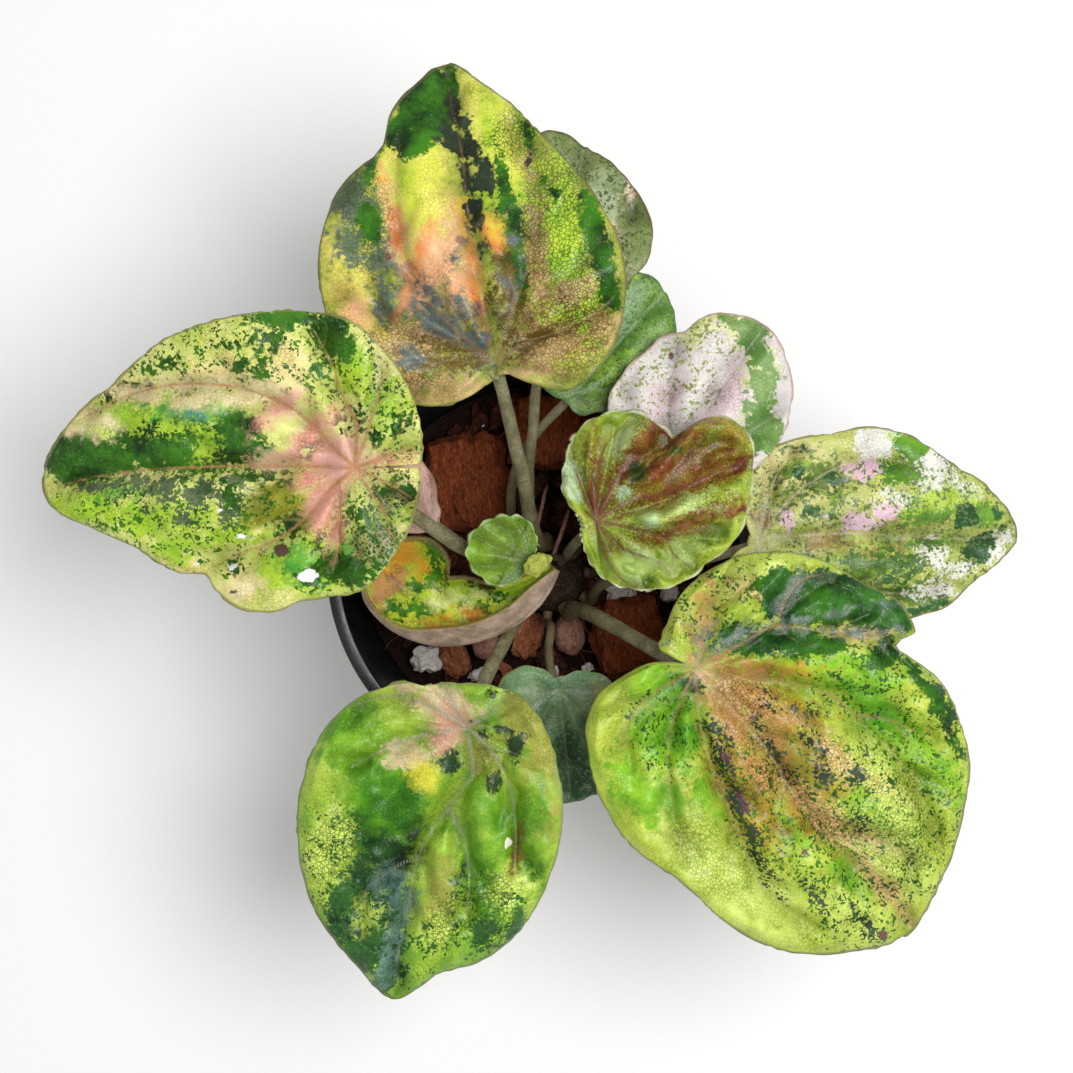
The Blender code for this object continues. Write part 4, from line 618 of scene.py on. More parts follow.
def betweenRibs(ribs, degrees):
    # 0 on a main rib and 1 halfway to the next
    ordered = np.sort(np.mod(np.array(ribs, dtype=float), 360.0))
    ordered = np.concatenate([[ordered[-1] - 360.0], ordered, [ordered[0] + 360.0]])
    degrees = np.mod(degrees, 360.0)
    left = np.searchsorted(ordered, degrees, side="right") - 1
    return np.sin(math.pi * (degrees - ordered[left]) / (ordered[left + 1] - ordered[left]))


def bladeHeight(blade, degrees, reach, edge):
    form = blade["form"]
    turn = np.radians(degrees)
    distance = reach * edge
    fullness = np.minimum(reach / fullReach, 1.0)
    along = distance * np.cos(turn)
    across = distance * np.sin(turn)
    height = form["slope"] * along + form["roll"] * across + form["fold"] * np.abs(across)
    height -= form["arch"] * (np.maximum(along, 0.0) / 10.0) ** 2 + form["bow"] * (across / 10.0) ** 2
    height -= form["drop"] * (np.maximum(-along, 0.0) / 15.0) ** 1.5
    waveHeight, waveCount, wavePhase = form["wave"]
    height += fullness * waveHeight * edge**2 * np.sin(waveCount * turn + math.radians(wavePhase))
    height += form["puff"] * betweenRibs(blade["ribs"], degrees) * fullness * 2.0 * edge * (1.25 - edge)
    return height


def ringGrid(rows):
    # a square grid wrapped into rings: for each point its ring and its angle, and the faces between them
    size = 2 * rows + 1
    i, j = np.meshgrid(np.arange(-rows, rows + 1), np.arange(-rows, rows + 1), indexing="ij")
    i, j = i.ravel(), j.ravel()
    ring = np.maximum(np.abs(i), np.abs(j))
    place = np.select([(i == ring) & (j > -ring), j == ring, i == -ring], [j, 2 * ring - i, 4 * ring - j],
                      6 * ring + i)
    degrees = np.where(ring > 0, 45.0 * place / np.maximum(ring, 1), 0.0) % 360.0
    corner = np.arange(size * size).reshape(size, size)
    faces = np.stack([corner[:-1, :-1], corner[1:, :-1], corner[1:, 1:], corner[:-1, 1:]], axis=-1)
    return ring / rows, degrees, faces.reshape(-1, 4).tolist()


def toothing(blade, degrees, seed):
    # how far the margin steps in between its teeth, in mm
    teeth = blade["form"].get("teeth")
    if teeth:
        share = (degrees * teeth[0] / 360.0) % 1.0
        return 1.3 * teeth[1] * (1.0 - np.abs(2.0 * share - 1.0))
    stations = np.linspace(0.0, 360.0, 1441)
    reach = outlineRadius(blade, stations)
    x, y = reach * np.cos(np.radians(stations)), reach * np.sin(np.radians(stations))
    length = np.concatenate([[0.0], np.cumsum(np.hypot(np.diff(x), np.diff(y)))])
    run = np.interp(degrees, stations, length)
    share = (run / 3.4 + 0.8 * softNoise(run, run * 0.0, 7.0, seed)) % 1.0
    depth = np.maximum(0.16 + 0.26 * softNoise(run, run * 0.0 + 5.0, 6.0, seed), 0.0)
    return depth * (1.0 - np.abs(2.0 * share - 1.0)) + 0.25 * softNoise(run, run * 0.0, 3.5, seed + 1.0)


def veinRoutes(blade):
    if "routes" in blade:
        return [np.array(route, dtype=float) for route in blade["routes"]]
    routes = []
    for angle in blade["ribs"]:
        share = np.array([0.0, 0.3, 0.62, 0.95])
        turn = np.radians(angle * (1.0 - 0.2 * share))
        reach = outlineRadius(blade, np.degrees(turn)) * share
        routes.append(np.stack([reach * np.cos(turn), reach * np.sin(turn)], axis=-1))
    return routes


def sideVeins(path, size, seed):
    # short branches that leave a main vein on both sides in turn and bend toward the tip
    made = []
    steps = max(3, int(len(path) / 7))
    for step in range(steps):
        share = (step + 0.7) / steps
        k = min(int(share * (len(path) - 1)), len(path) - 2)
        ahead = path[k + 1] - path[k]
        side = 1 if (step + seed) % 2 else -1
        heading = math.atan2(ahead[1], ahead[0]) + side * math.radians(46.0)
        spot = path[k].copy()
        branch = [spot.copy()]
        for part in range(7):
            spot += np.array([math.cos(heading), math.sin(heading)]) * size * (1.15 - 0.5 * share) / 7.0
            heading -= side * math.radians(4.0)
            branch.append(spot.copy())
        made.append(np.array(branch))
    return made


def nearest(u, v, path):
    # distance in mm from each point to a run of points, and the share of the run where it is nearest
    start, step = path[:-1], np.diff(path, axis=0)
    du, dv = u[:, None] - start[None, :, 0], v[:, None] - start[None, :, 1]
    share = np.clip((du * step[:, 0] + dv * step[:, 1]) / np.maximum((step**2).sum(axis=1), 1e-9), 0.0, 1.0)
    gap = np.hypot(du - share * step[:, 0], dv - share * step[:, 1])
    index = np.argmin(gap, axis=1)
    row = np.arange(len(u))
    return gap[row, index], (index + share[row, index]) / len(step)


def patchField(u, v, patches):
    # signed distance in mm into the nearest patch
    field = np.full(len(u), -paintLimit)
    for along, left, halfAlong, halfLeft, turn in patches:
        c, s = math.cos(math.radians(turn)), math.sin(math.radians(turn))
        x = ((u - along) * c + (v - left) * s) / halfAlong
        y = ((v - left) * c - (u - along) * s) / halfLeft
        field = np.maximum(field, (1.0 - np.sqrt(x * x + y * y)) * min(halfAlong, halfLeft))
    return np.clip(field, -paintLimit, paintLimit)


def paintFields(u, v, blade):
    fields = {}
    for name, tones, ragged, specks, patches in blade["paint"]:
        field = patchField(u, v, patches)
        if name == "freckles":
            field = np.minimum(field * 0.5, 0.0) - specks * (0.7 - 0.1 * np.clip(field / 3.0, 0.0, 1.0))
        fields["paint_" + name] = field
    for name, colour, patches in blade["dots"]:
        fields["dot_" + name] = patchField(u, v, patches)
    return fields


def buildBlade(name, blade, number):
    share, degrees, faces = ringGrid(blade["rows"])
    reach = outlineRadius(blade, degrees)
    distance = reach * share - toothing(blade, degrees, number) * share**9
    edge = distance / reach
    u, v = distance * np.cos(np.radians(degrees)), distance * np.sin(np.radians(degrees))
    veinMain = np.zeros(len(u))       # 1 on a vein, down to 0 at 2 mm from it
    veinSide = np.zeros(len(u))
    mainGap = np.full(len(u), 99.0)
    sideGap = np.full(len(u), 99.0)
    size = max(point[1] for point in blade["outline"]) ** 0.75 * 0.42
    for index, route in enumerate(veinRoutes(blade)):
        path = smoothPath(route, max(8, int(np.linalg.norm(np.diff(route, axis=0), axis=1).sum() / 1.2)))
        gap, along = nearest(u, v, path)
        mainGap = np.minimum(mainGap, gap + 0.6 * along)
        veinMain = np.maximum(veinMain, 1.0 - 0.5 * (gap + 0.3 * along))
        for branch in sideVeins(path, size, index):
            gap, along = nearest(u, v, branch)
            sideGap = np.minimum(sideGap, gap + 0.5 * along)
            veinSide = np.maximum(veinSide, 1.0 - 0.5 * (gap + 0.25 * along))
    rim = reach - distance
    fade = np.clip(rim / 2.5, 0.0, 1.0) * np.clip((distance - 1.0) / 7.0, 0.0, 1.0)
    quilt = 1.35 * (1.0 - np.exp(-(mainGap / 2.6) ** 2)) - 0.7 - 0.3 * np.exp(-(mainGap / 0.7) ** 2)
    quilt += 0.75 * (1.0 - np.exp(-(sideGap / 1.7) ** 2)) - 0.45
    quilt += 0.5 * softNoise(u, v, 5.0, number) + 0.2 * softNoise(u, v, 2.0, number + 0.5)
    lowest = np.where(u < 3.0, 0.12, 1.3) * np.clip((distance - 2.0) / 8.0, 0.0, 1.0)
    lift = np.maximum(blade["swell"] * fade * quilt, -lowest)
    startZ = blade["stalk"][2]
    height = startZ + bladeHeight(blade, degrees, reach, edge) + lift
    spread = (viewPoint[2] - height) / (viewPoint[2] - startZ)
    turn = np.radians(degrees + blade["heading"])
    x = viewPoint[0] + (blade["stalk"][0] + distance * np.cos(turn) - viewPoint[0]) * spread
    y = viewPoint[1] + (blade["stalk"][1] + distance * np.sin(turn) - viewPoint[1]) * spread
    # hollowShade is the relief kept for the painted shade in the grooves
    fields = {"veinMain": veinMain, "veinSide": veinSide, "rim": rim, "hollowShade": quilt}
    fields.update(paintFields(u, v, blade))
    return makeMesh(name, np.stack([x, y, height], axis=-1), faces, fields)


def readField(tree, name):
    return addNode(tree, "ShaderNodeAttribute", attribute_name=name).outputs["Fac"]


def bladeMaterial(name, look):
    # tissue, then the painted layers, then veins, margin and pores, then painted shade in the grooves and painted light
    # on the crests
    material, tree, shader, place = newMaterial(name, look.get("gloss", 0.3), 0.28)
    shifted = addNode(tree, "ShaderNodeVectorMath", {0: place, 1: (31.7, 12.9, 7.3)}).outputs[0]
    broad = [*channels(tree, grain(tree, place, 3.4, 2.5).outputs["Color"]),
             *channels(tree, grain(tree, shifted, 2.4, 2.5).outputs["Color"])]
    fine = channels(tree, grain(tree, place, 1.1, 3.0, 0.65).outputs["Color"])
    bent = addNode(tree, "ShaderNodeVectorMath", {0: place, 1: fineShift(tree, place)}).outputs[0]
    cells = [*channels(tree, cellMap(tree, bent, 0.5).outputs["Color"]),
             *channels(tree, cellMap(tree, bent, 0.95).outputs["Color"])]
    mesh = cellMap(tree, bent, 0.8, "DISTANCE_TO_EDGE").outputs["Distance"]
    slow = channels(tree, grain(tree, shifted, 7.0, 2.0).outputs["Color"])
    drift = [calc(tree, "MULTIPLY_ADD", fine[k], 0.3, calc(tree, "MULTIPLY", slow[k], 0.7)) for k in range(3)]
    tones = [tone(code) for code in look["tissue"]]
    colour = mixColours(tree, ramp(tree, drift[0], 0.4, 0.6), *tones)
    for index, (key, codes, ragged, specks, patches) in enumerate(look["paint"]):
        spread = ragged * ragScale * (0.5 if key == "freckles" else 1.0)
        wander = calc(tree, "MULTIPLY_ADD", broad[index % 6], spread, -0.5 * spread)
        flake = cells[index % 3] if key in ("freckles", "inkPatches") else cells[(index + 2) % 6]
        jump = calc(tree, "MULTIPLY_ADD", flake, 2.0 * specks, -specks)
        total = calc(tree, "ADD", calc(tree, "ADD", readField(tree, "paint_" + key), wander), jump)
        soft = softEdges.get(key, 0.3)
        mask = ramp(tree, total, -soft, soft)
        if key.endswith("Net"):
            mask = calc(tree, "MULTIPLY", mask, ramp(tree, mesh, 0.04, 0.16, 0.75, 0.0))
        tones = [tone(code) for code in codes]
        layer = mixColours(tree, ramp(tree, drift[(index + 1) % 3], 0.4, 0.6), *tones)
        colour = mixColours(tree, mask, colour, layer)
    # the finest veins: a darker net, strong in some places and faint in others
    net = calc(tree, "MULTIPLY", ramp(tree, mesh, 0.02, 0.13, 1.0, 0.0), ramp(tree, slow[1], 0.4, 0.62, 0.08, 0.5))
    netted = mixColours(tree, 1.0, colour, tone(look.get("net", "8a8250")), "MULTIPLY")
    colour = mixColours(tree, net, colour, netted)
    veinTone, veinStrength = look["vein"]
    wander = calc(tree, "MULTIPLY_ADD", fine[0], 0.3, -0.15)
    mainLine = ramp(tree, calc(tree, "ADD", readField(tree, "veinMain"), wander), 0.72, 0.9, 0.0, veinStrength)
    sideLine = ramp(tree, calc(tree, "ADD", readField(tree, "veinSide"), wander), 0.8, 0.95, 0.0, 0.4 * veinStrength)
    broken = ramp(tree, broad[4], 0.36, 0.56, 0.5, 1.0)
    veins = calc(tree, "MULTIPLY", calc(tree, "MAXIMUM", mainLine, sideLine), broken)
    colour = mixColours(tree, veins, colour, tone(veinTone))
    for key, code, patches in look["dots"]:
        wander = calc(tree, "MULTIPLY_ADD", fine[2], 1.6, -0.8)
        mask = ramp(tree, calc(tree, "ADD", readField(tree, "dot_" + key), wander), -0.1, 0.15)
        colour = mixColours(tree, mask, colour, tone(code))
    edgeLine = ramp(tree, calc(tree, "MULTIPLY_ADD", fine[1], -0.5, readField(tree, "rim")), 0.05, 0.45, 0.8, 0.0)
    colour = mixColours(tree, edgeLine, colour, tone(look["margin"]))
    pores = ramp(tree, cellMap(tree, place, 1.0, "F1").outputs["Distance"], 0.05, 0.12, 0.35, 0.0)
    colour = mixColours(tree, pores, colour, tone("f4f4e0"))
    # painted shade: the base colour is darkened in the grooves and lightened a little on the crests
    shade = ramp(tree, readField(tree, "hollowShade"), -1.2, 0.9, 0.6, 1.06)      # grooves hold less light
    colour = mixColours(tree, 1.0, colour, shade, "MULTIPLY")
    tree.links.new(colour, shader.inputs["Base Color"])
    bumps = calc(tree, "MULTIPLY_ADD", ramp(tree, mesh, 0.0, 0.35), 0.6, fine[2])
    addBump(tree, shader, bumps, 0.06)
    rough = ramp(tree, fine[1], 0.3, 0.7, look.get("gloss", 0.3) - 0.05, look.get("gloss", 0.3) + 0.12)
    tree.links.new(rough, shader.inputs["Roughness"])
    return material


def fineShift(tree, place):
    # a small wandering offset that keeps the net of veins from looking drawn with a ruler
    wander = grain(tree, place, 2.2, 2.0).outputs["Color"]
    centred = addNode(tree, "ShaderNodeVectorMath", {0: wander, 1: (-0.5, -0.5, -0.5)}).outputs[0]
    return addNode(tree, "ShaderNodeVectorMath", {0: centred, 3: 1.3}, operation="SCALE").outputs[0]


def undersideMaterial(name, light, dark):
    # paler and duller than the face, with the veins standing out
    material, tree, shader, place = newMaterial(name, 0.6, 0.3)
    mottle = ramp(tree, grain(tree, place, 3.0, 4.0).outputs["Fac"], 0.38, 0.62)
    colour = mixColours(tree, mottle, tone(light), tone(dark))
    colour = mixColours(tree, ramp(tree, readField(tree, "veinMain"), 0.5, 0.8, 0.0, 0.7), colour, tone("a87868"))
    net = cellMap(tree, place, 1.4, "DISTANCE_TO_EDGE").outputs["Distance"]
    colour = mixColours(tree, ramp(tree, net, 0.02, 0.1, 0.3, 0.0), colour, tone("8a6a5c"))
    tree.links.new(colour, shader.inputs["Base Color"])
    addBump(tree, shader, net, 0.2)
    return material


def addBlade(name, mesh, materials, slotName, thickness=0.8):
    piece = addPiece(name, mesh, materials, slotName, name.replace("Fine", ""))
    sheet = piece.modifiers.new("thickness", "SOLIDIFY")
    sheet.thickness = thickness * mm
    sheet.offset = -1.0
    sheet.material_offset = 1
    return piece


bladeSlots = {
    "leaf_white": "blade_white", "leaf_back_green": "blade_plain", "leaf_back_grey": "blade_plain",
    "leaf_front_small": "blade_dark", "leaf_young_red": "blade_young", "leaf_new_toothed": "blade_young",
    "leaf_low_pink": "blade_pink",
}
underGreen = undersideMaterial("underGreen", "a8ac80", "84906a")
underPink = undersideMaterial("underPink", "c8a698", "a88a7c")
underTan = undersideMaterial("underTan", "b8a08c", "8f7c6a")
for number, (name, blade) in enumerate(blades.items()):
    mesh = buildBlade(name, blade, number + 1)
    under = underPink if name in ("leaf_white", "leaf_low_pink", "leaf_right") else underGreen
    addBlade(name + "Fine", mesh, [bladeMaterial(name + "Face", blade), under], bladeSlots.get(name, "blade"))
    print("blade", name, len(mesh.polygons), "faces")

# The curled blade lies on its side: stations of back edge, front bulge and front margin, right to left
curled = {
    "stations": [
        ((2.2, -0.2, 89.4), (3.3, -1.0, 88.8), (2.8, -0.5, 90.2)),
        ((-1.0, -1.6, 89.0), (1.8, -4.4, 88.6), (0.4, -2.3, 91.2)),
        ((-4.5, -2.8, 88.6), (-1.0, -8.3, 88.2), (-2.1, -4.2, 92.0)),
        ((-9.5, -4.2, 88.2), (-5.6, -12.0, 87.8), (-7.0, -8.4, 92.4)),
        ((-15.2, -2.6, 88.0), (-11.7, -14.9, 87.4), (-14.1, -11.6, 92.2)),
        ((-19.1, -2.3, 88.0), (-18.5, -16.1, 87.0), (-21.2, -12.6, 91.8)),
        ((-19.3, 1.8, 89.4), (-24.3, -15.5, 86.8), (-27.4, -12.6, 91.0)),
        ((-22.6, 5.0, 89.8), (-30.4, -12.8, 86.6), (-32.4, -9.9, 90.4)),
        ((-27.7, 5.2, 89.6), (-35.2, -7.9, 86.4), (-35.6, -5.4, 89.8)),
        ((-31.9, 3.4, 89.0), (-36.4, -3.2, 86.6), (-35.8, -1.1, 89.2)),
    ],
    "valleyDepth": 3.6, "across": 72, "along": 128,
    "tissue": ("c8d840", "98b42c"), "vein": ("8c7440", 0.25), "margin": "7c6440", "gloss": 0.26,
    "paint": [
        ("tanBrown", ("bc8c54", "94683c"), 1.0, 0.9, [(-31.5, -3.6, 4, 4, 0), (-33, -7, 3, 2, 0), (-18, -14, 5, 0.9, -10)]),
        ("gold", ("e8b83c", "dc9634"), 0.9, 0.7, [(-28.4, 2.6, 4, 2.8, -20), (-24, -1, 2, 2, 0), (-32, -1, 2, 2, 0)]),
        # the lime along the crease is partly the blade's own lime and partly painted highlight
        ("lime", ("d4e848", "a8d038"), 0.9, 0.7,
         [(-17.5, -7.4, 5, 2.4, -20), (-8, -6.4, 3, 1.4, -20), (-24, -7, 3, 2.4, 0), (-4, -5, 2.4, 1.4, -20)]),
        ("green", ("5c9428", "2f6418"), 0.9, 0.9,
         [(-21.5, 2.6, 1.8, 4, 0), (-21.6, -2.7, 2.4, 2.4, 0), (-26, -9, 4, 1.6, -10), (-10, -6, 3, 1, -20),
          (-25.3, -4.4, 2, 1, 0), (-12, -9, 3, 0.9, -20), (-30, -9, 3, 1.6, -30)]),
        ("amber", ("e8b038", "d49030"), 0.8, 0.6, [(-13.6, -10.8, 3.4, 1.4, -20), (-20, -11.6, 2, 0.8, 0)]),
        ("glint", ("f0f2b0", "dce88c"), 0.6, 0.5, [(-17.5, -6.7, 3.4, 0.9, -20), (-21.4, -8.3, 1.6, 1.1, 0), (-13, -6, 2, 0.6, -10)]),
        # painted shade: the shadowed inside of the curl
        ("cavityShade", ("3c3a1c", "26280f"), 0.6, 0.3, [(-16.8, -1.6, 2.6, 1.5, 0), (-12, -4.4, 3, 0.8, -15)]),
    ],
    "dots": [],
}


def curledSection(station):
    back, bulge, margin = (np.array(point) for point in station)
    width = np.linalg.norm(bulge[:2] - back[:2])
    low = min(back[2], bulge[2]) - curled["valleyDepth"] * width / 14.0
    valley = back + (bulge - back) * 0.45
    foot = back + (bulge - back) * 0.85
    valley[2] = low
    foot[2] = low + 0.35 * (bulge[2] - low)
    return [back, valley, foot, bulge, margin]


def buildCurled():
    across, along = curled["across"] + 1, curled["along"] + 1
    sections = [smoothPath(curledSection(station), across) for station in curled["stations"]]
    grid = np.array([smoothPath([section[i] for section in sections], along) for i in range(across)])
    i, j = np.meshgrid(np.linspace(0, 1, across), np.linspace(0, 1, along), indexing="ij")
    points, i, j = grid.reshape(-1, 3), i.ravel(), j.ravel()
    rim = np.minimum(np.minimum(i, 1.0 - i) * 22.0, np.minimum(j, 1.0 - j) * 38.0)
    veinShare = np.abs(((i * 3.0 + 0.6 * j) % 1.0) - 0.5) * 2.0
    veinMain = np.exp(-(veinShare / 0.12) ** 2) * np.clip(rim / 3.0, 0.0, 1.0)
    rise = 0.3 * softNoise(j * 38.0, i * 22.0, 3.6, 4.0) + 0.12 * softNoise(j * 38.0, i * 22.0, 1.5, 6.0)
    points[:, 2] += (rise - 0.3 * veinMain) * np.clip(rim / 2.0, 0.0, 1.0)
    # hollowShade drives the painted shade in the curled blade's folds and along its veins
    fields = {"veinMain": veinMain, "veinSide": veinMain * 0.0, "rim": rim, "hollowShade": rise * 2.0 + 0.4 - veinMain}
    fields.update(paintFields(points[:, 0], points[:, 1], curled))
    corner = np.arange(across * along).reshape(across, along)
    faces = np.stack([corner[:-1, :-1], corner[:-1, 1:], corner[1:, 1:], corner[1:, :-1]], axis=-1)
    return makeMesh("leaf_curled", points, faces.reshape(-1, 4).tolist(), fields)


addBlade("leaf_curledFine", buildCurled(), [bladeMaterial("leafCurledFace", curled), underTan], "blade")
print("curled blade")

# Loose pieces: kind, middle, half sizes and turn, as the solids have them
loosePieces = {
    "coir_chunk_left": ("coir", (-15.6, 17.5), (8.0, 9.6, 5.2), 8),
    "coir_chunk_back": ("coir", (1.5, 28.4), (7.8, 7.4, 4.6), -6),
    "coir_chunk_right": ("coir", (19.6, -16.4), (7.2, 7.6, 5.0), 12),
    "clay_pebble_front": ("clay", (6.4, -15.6), (3.4, 4.5, 3.3), 8),
    "clay_pebble_left": ("clay", (-11.5, -18.3), (3.2, 3.0, 2.8), 0),
    "bark_chip_front": ("bark", (-2.6, -15.9), (2.6, 4.4, 1.6), -18),
    "bark_chip_left": ("bark", (-18.6, -20.9), (2.5, 3.4, 1.5), 15),
    "bark_chip_small": ("bark", (-7.3, -23.6), (1.1, 1.7, 0.9), 40),
    "perlite_left": ("perlite", (-24.9, -20.9), (2.8, 2.6, 2.2), 0),
    "perlite_right": ("perlite", (17.6, -6.2), (2.9, 1.7, 1.6), 10),
    "perlite_far_right": ("perlite", (28.5, -6.6), (1.8, 1.6, 1.4), 0),
    "perlite_front_left": ("perlite", (-13.0, -24.3), (2.3, 1.1, 1.0), 20),
    "perlite_front": ("perlite", (2.9, -23.6), (1.1, 1.1, 0.9), 0),
    "perlite_front_right": ("perlite", (10.4, -23.0), (1.1, 0.9, 0.8), 30),
}
lumpStyles = {
    "coir": {"blocky": True, "roughness": 0.3, "grit": 0.09, "gritSize": 0.16},
    "bark": {"blocky": True, "roughness": 0.45, "grit": 0.06, "gritSize": 0.2},
    "clay": {"blocky": False, "roughness": 0.12, "grit": 0.03, "gritSize": 0.14},
    "perlite": {"blocky": True, "roughness": 0.35, "grit": 0.10, "gritSize": 0.3},
}


def stoneMaterial(name, tones, size, roughness, depth, fibrous=None):
    material, tree, shader, place = newMaterial(name, roughness, 0.25)
    rough = grain(tree, place, size, 5.0, 0.65, fibrous)
    fine = grain(tree, place, size * 0.3, 3.0, 0.6, fibrous)
    colour = mixColours(tree, ramp(tree, rough.outputs["Fac"], 0.36, 0.64), tone(tones[0]), tone(tones[1]))
    colour = mixColours(tree, ramp(tree, fine.outputs["Fac"], 0.52, 0.7, 0.0, 0.8), colour, tone(tones[2]))
    # painted shade: dark specks at the cell middles stand for shade in small pits
    pitShade = cellMap(tree, place, size * 0.5).outputs["Distance"]
    colour = mixColours(tree, ramp(tree, pitShade, 0.08, 0.25, 0.5, 0.0), colour, tone(tones[3]))
    tree.links.new(colour, shader.inputs["Base Color"])
    total = calc(tree, "MULTIPLY_ADD", fine.outputs["Fac"], 0.6, rough.outputs["Fac"])
    addBump(tree, shader, total, depth)
    return material


lumpMaterials = {
    "coir": stoneMaterial("coirHusk", ("8a4220", "54240f", "bc6a38", "220e06"), 2.2, 0.95, 0.9, (3.0, 0.6, 1.0)),
    "bark": stoneMaterial("barkChip", ("96583a", "6c3c28", "b87c54", "2e1a12"), 1.8, 0.85, 0.5, (1.0, 0.4, 1.0)),
    "clay": stoneMaterial("firedClay", ("a07464", "7c5448", "c09a88", "402a24"), 1.2, 0.85, 0.25),
    "perlite": stoneMaterial("perliteGrain", ("e6e0da", "c4bab2", "f6f4f0", "9a8e84"), 0.9, 0.9, 0.3),
}


def lumpShape(halfSizes, style, seed, cuts=23, lift=1.0):
    shape = bmesh.new()
    if style["blocky"]:
        bmesh.ops.create_cube(shape, size=2.0)
        bmesh.ops.subdivide_edges(shape, edges=shape.edges[:], cuts=cuts, use_grid_fill=True)
    else:
        bmesh.ops.create_icosphere(shape, subdivisions=5, radius=1.0)
    for vert in shape.verts:
        rounded = vert.co.normalized() * 1.15 if style["blocky"] else vert.co
        place = vert.co.lerp(rounded, 0.5)
        push = 1.0 + style["roughness"] * noise.noise(place * 1.7 + Vector((seed, 0.0, 0.0)))
        spot = Vector([part * half for part, half in zip(place, halfSizes)])
        push += lift * style["grit"] * noise.fractal(place * 0.5 / style["gritSize"] + Vector((0.0, seed, 0.0)), 1.0,
                                                     2.0, 4)
        vert.co = spot * push
    return shape


def groundLevel(x, y):
    # the bed's own height, pressed flat under each loose piece and round the crown
    height = 58.5 + 1.5 * noise.noise(Vector((x / 6.0, y / 6.0, 0.0)))
    pressed = [(piece[1], max(piece[2][:2])) for piece in loosePieces.values()]
    for middle, radius in pressed + [((2.5, -3.0), 3.3)]:
        away = math.dist((x, y), middle) - radius
        height += (57.6 - height) * min(max(2.0 - away / 4.5, 0.0), 1.0)
    return height


for number, (name, piece) in enumerate(loosePieces.items()):
    kind, middle, halfSizes, turn = piece
    shape = lumpShape(halfSizes, lumpStyles[kind], 10.0 + 3.0 * number, 23 if max(halfSizes) > 5 else 13)
    for vert in shape.verts:
        vert.co *= mm
    lump = bpy.data.meshes.new(name)
    shape.to_mesh(lump)
    shape.free()
    lump.shade_smooth()
    lowest = min(vert.co.z for vert in lump.vertices)
    lumpPiece = addPiece(name + "Fine", lump, [lumpMaterials[kind]], kind, name)
    lumpPiece.rotation_euler = (0.0, 0.0, math.radians(turn))
    lumpPiece.location = (middle[0] * mm, middle[1] * mm, 57.9 * mm - lowest)
print("loose pieces", len(loosePieces))

# The unopened bud
bud = {"middle": (-0.5, 0.3, 104.4), "halfSizes": (2.7, 2.1, 1.5), "turn": 35, "seed": 2.0}
budMaterial = stoneMaterial("budSkin", ("a8ac44", "7e8c30", "c8c468", "5c5428"), 1.4, 0.5, 0.12)
budShape = lumpShape(bud["halfSizes"], {"blocky": False, "roughness": 0.3, "grit": 0.05, "gritSize": 0.3},
                     bud["seed"])
for vert in budShape.verts:
    vert.co *= mm
budMesh = bpy.data.meshes.new("leaf_bud")
budShape.to_mesh(budMesh)
budShape.free()
budMesh.shade_smooth()
budPiece = addPiece("leaf_budFine", budMesh, [budMaterial], "blade_young", "leaf_bud")
budPiece.location = [value * mm for value in bud["middle"]]
budPiece.rotation_euler = (0.0, 0.0, math.radians(bud["turn"]))

# Crown and stalks
crown = {"middle": (2.5, -3.0), "radius": 7.5, "domeLevel": 62.0, "domeHeight": 9.0,
         "foot": [(6.6, 58.0), (5.4, 54.0), (4.6, 46.5), (0.0, 46.5)]}
stalks = {
    "stalk_back": ((100, 50), [(0.0, 4.0, 77), (-1.87, 9.2, 88), (-3.3, 17.1, 98), (-5.2, 24.8, 106.5),
                               (-6.9, 32.2, 112)], "leaf_back", (1.75, 1.3)),
    "stalk_left": ((172, 36), [(-6.3, -0.4, 83), (-15.2, 3.3, 95), (-24.3, 9.6, 106), (-31.1, 15.2, 112)],
                   "leaf_left", (1.65, 1.4)),
    "stalk_front_left": ((232, 64), [(-4.4, -10.7, 77.5), (-8.2, -17.5, 88), (-11.5, -23.9, 96)],
                         "leaf_front_left", (1.65, 1.4)),
    "stalk_front_right": ((296, 52), [(7.4, -9.6, 74), (12.4, -11.2, 84), (22.5, -16.6, 98),
                                      (27.4, -18.9, 104)], "leaf_front_right", (1.75, 1.5)),
    "stalk_young_red": ((48, 50), [(5.7, 1.8, 79), (6.8, 4.0, 92), (8.7, 6.2, 99.5)],
                        "leaf_young_red", (1.1, 0.95)),
    "stalk_white": ((8, 62), [(14.5, 4.4, 80), (22.4, 13.4, 86)], "leaf_white", (1.2, 1.0)),
    "stalk_right": ((330, 66), [(14.0, -3.9, 76), (28.8, -0.4, 82)], "leaf_right", (1.3, 1.1)),
    "stalk_back_grey": ((128, 66), [(-2.8, 7.0, 75), (-2.2, 13.2, 82), (-2.2, 20.2, 87), (-1.5, 27.2, 91),
                                    (-0.5, 37.5, 95)], "leaf_back_grey", (1.2, 1.05)),
    "stalk_back_green": ((150, 68), [(-5.8, 7.0, 72), (-6.1, 14.8, 77), (-4.2, 22.0, 81.5),
                                     (0.0, 28.0, 84.5)], "leaf_back_green", (1.1, 0.95)),
    "stalk_front_small": ((264, 68), [(2.3, -13.5, 71.5), (1.8, -18.0, 76), (2.4, -22.4, 81.5)],
                          "leaf_front_small", (1.0, 0.9)),
    "stalk_new_toothed": ((120, 20), [(-0.6, -0.6, 82), (-2.2, 0.2, 92)], "leaf_new_toothed", (0.9, 0.75)),
    "stalk_low_pink": ((176, 68), [(-7.4, 0.6, 75), (-15.4, 4.0, 82)], "leaf_low_pink", (1.0, 0.85)),
    "stalk_curled": ((202, 68), [(-8.5, -6.0, 74), (-14.5, -5.6, 78)], "leaf_curled", (1.2, 1.05)),
    "stalk_bud": ((58, 26), [(2.4, 1.4, 79), (1.0, 1.5, 90), (0.0, 1.0, 98)], "leaf_bud", (0.8, 0.5)),
}


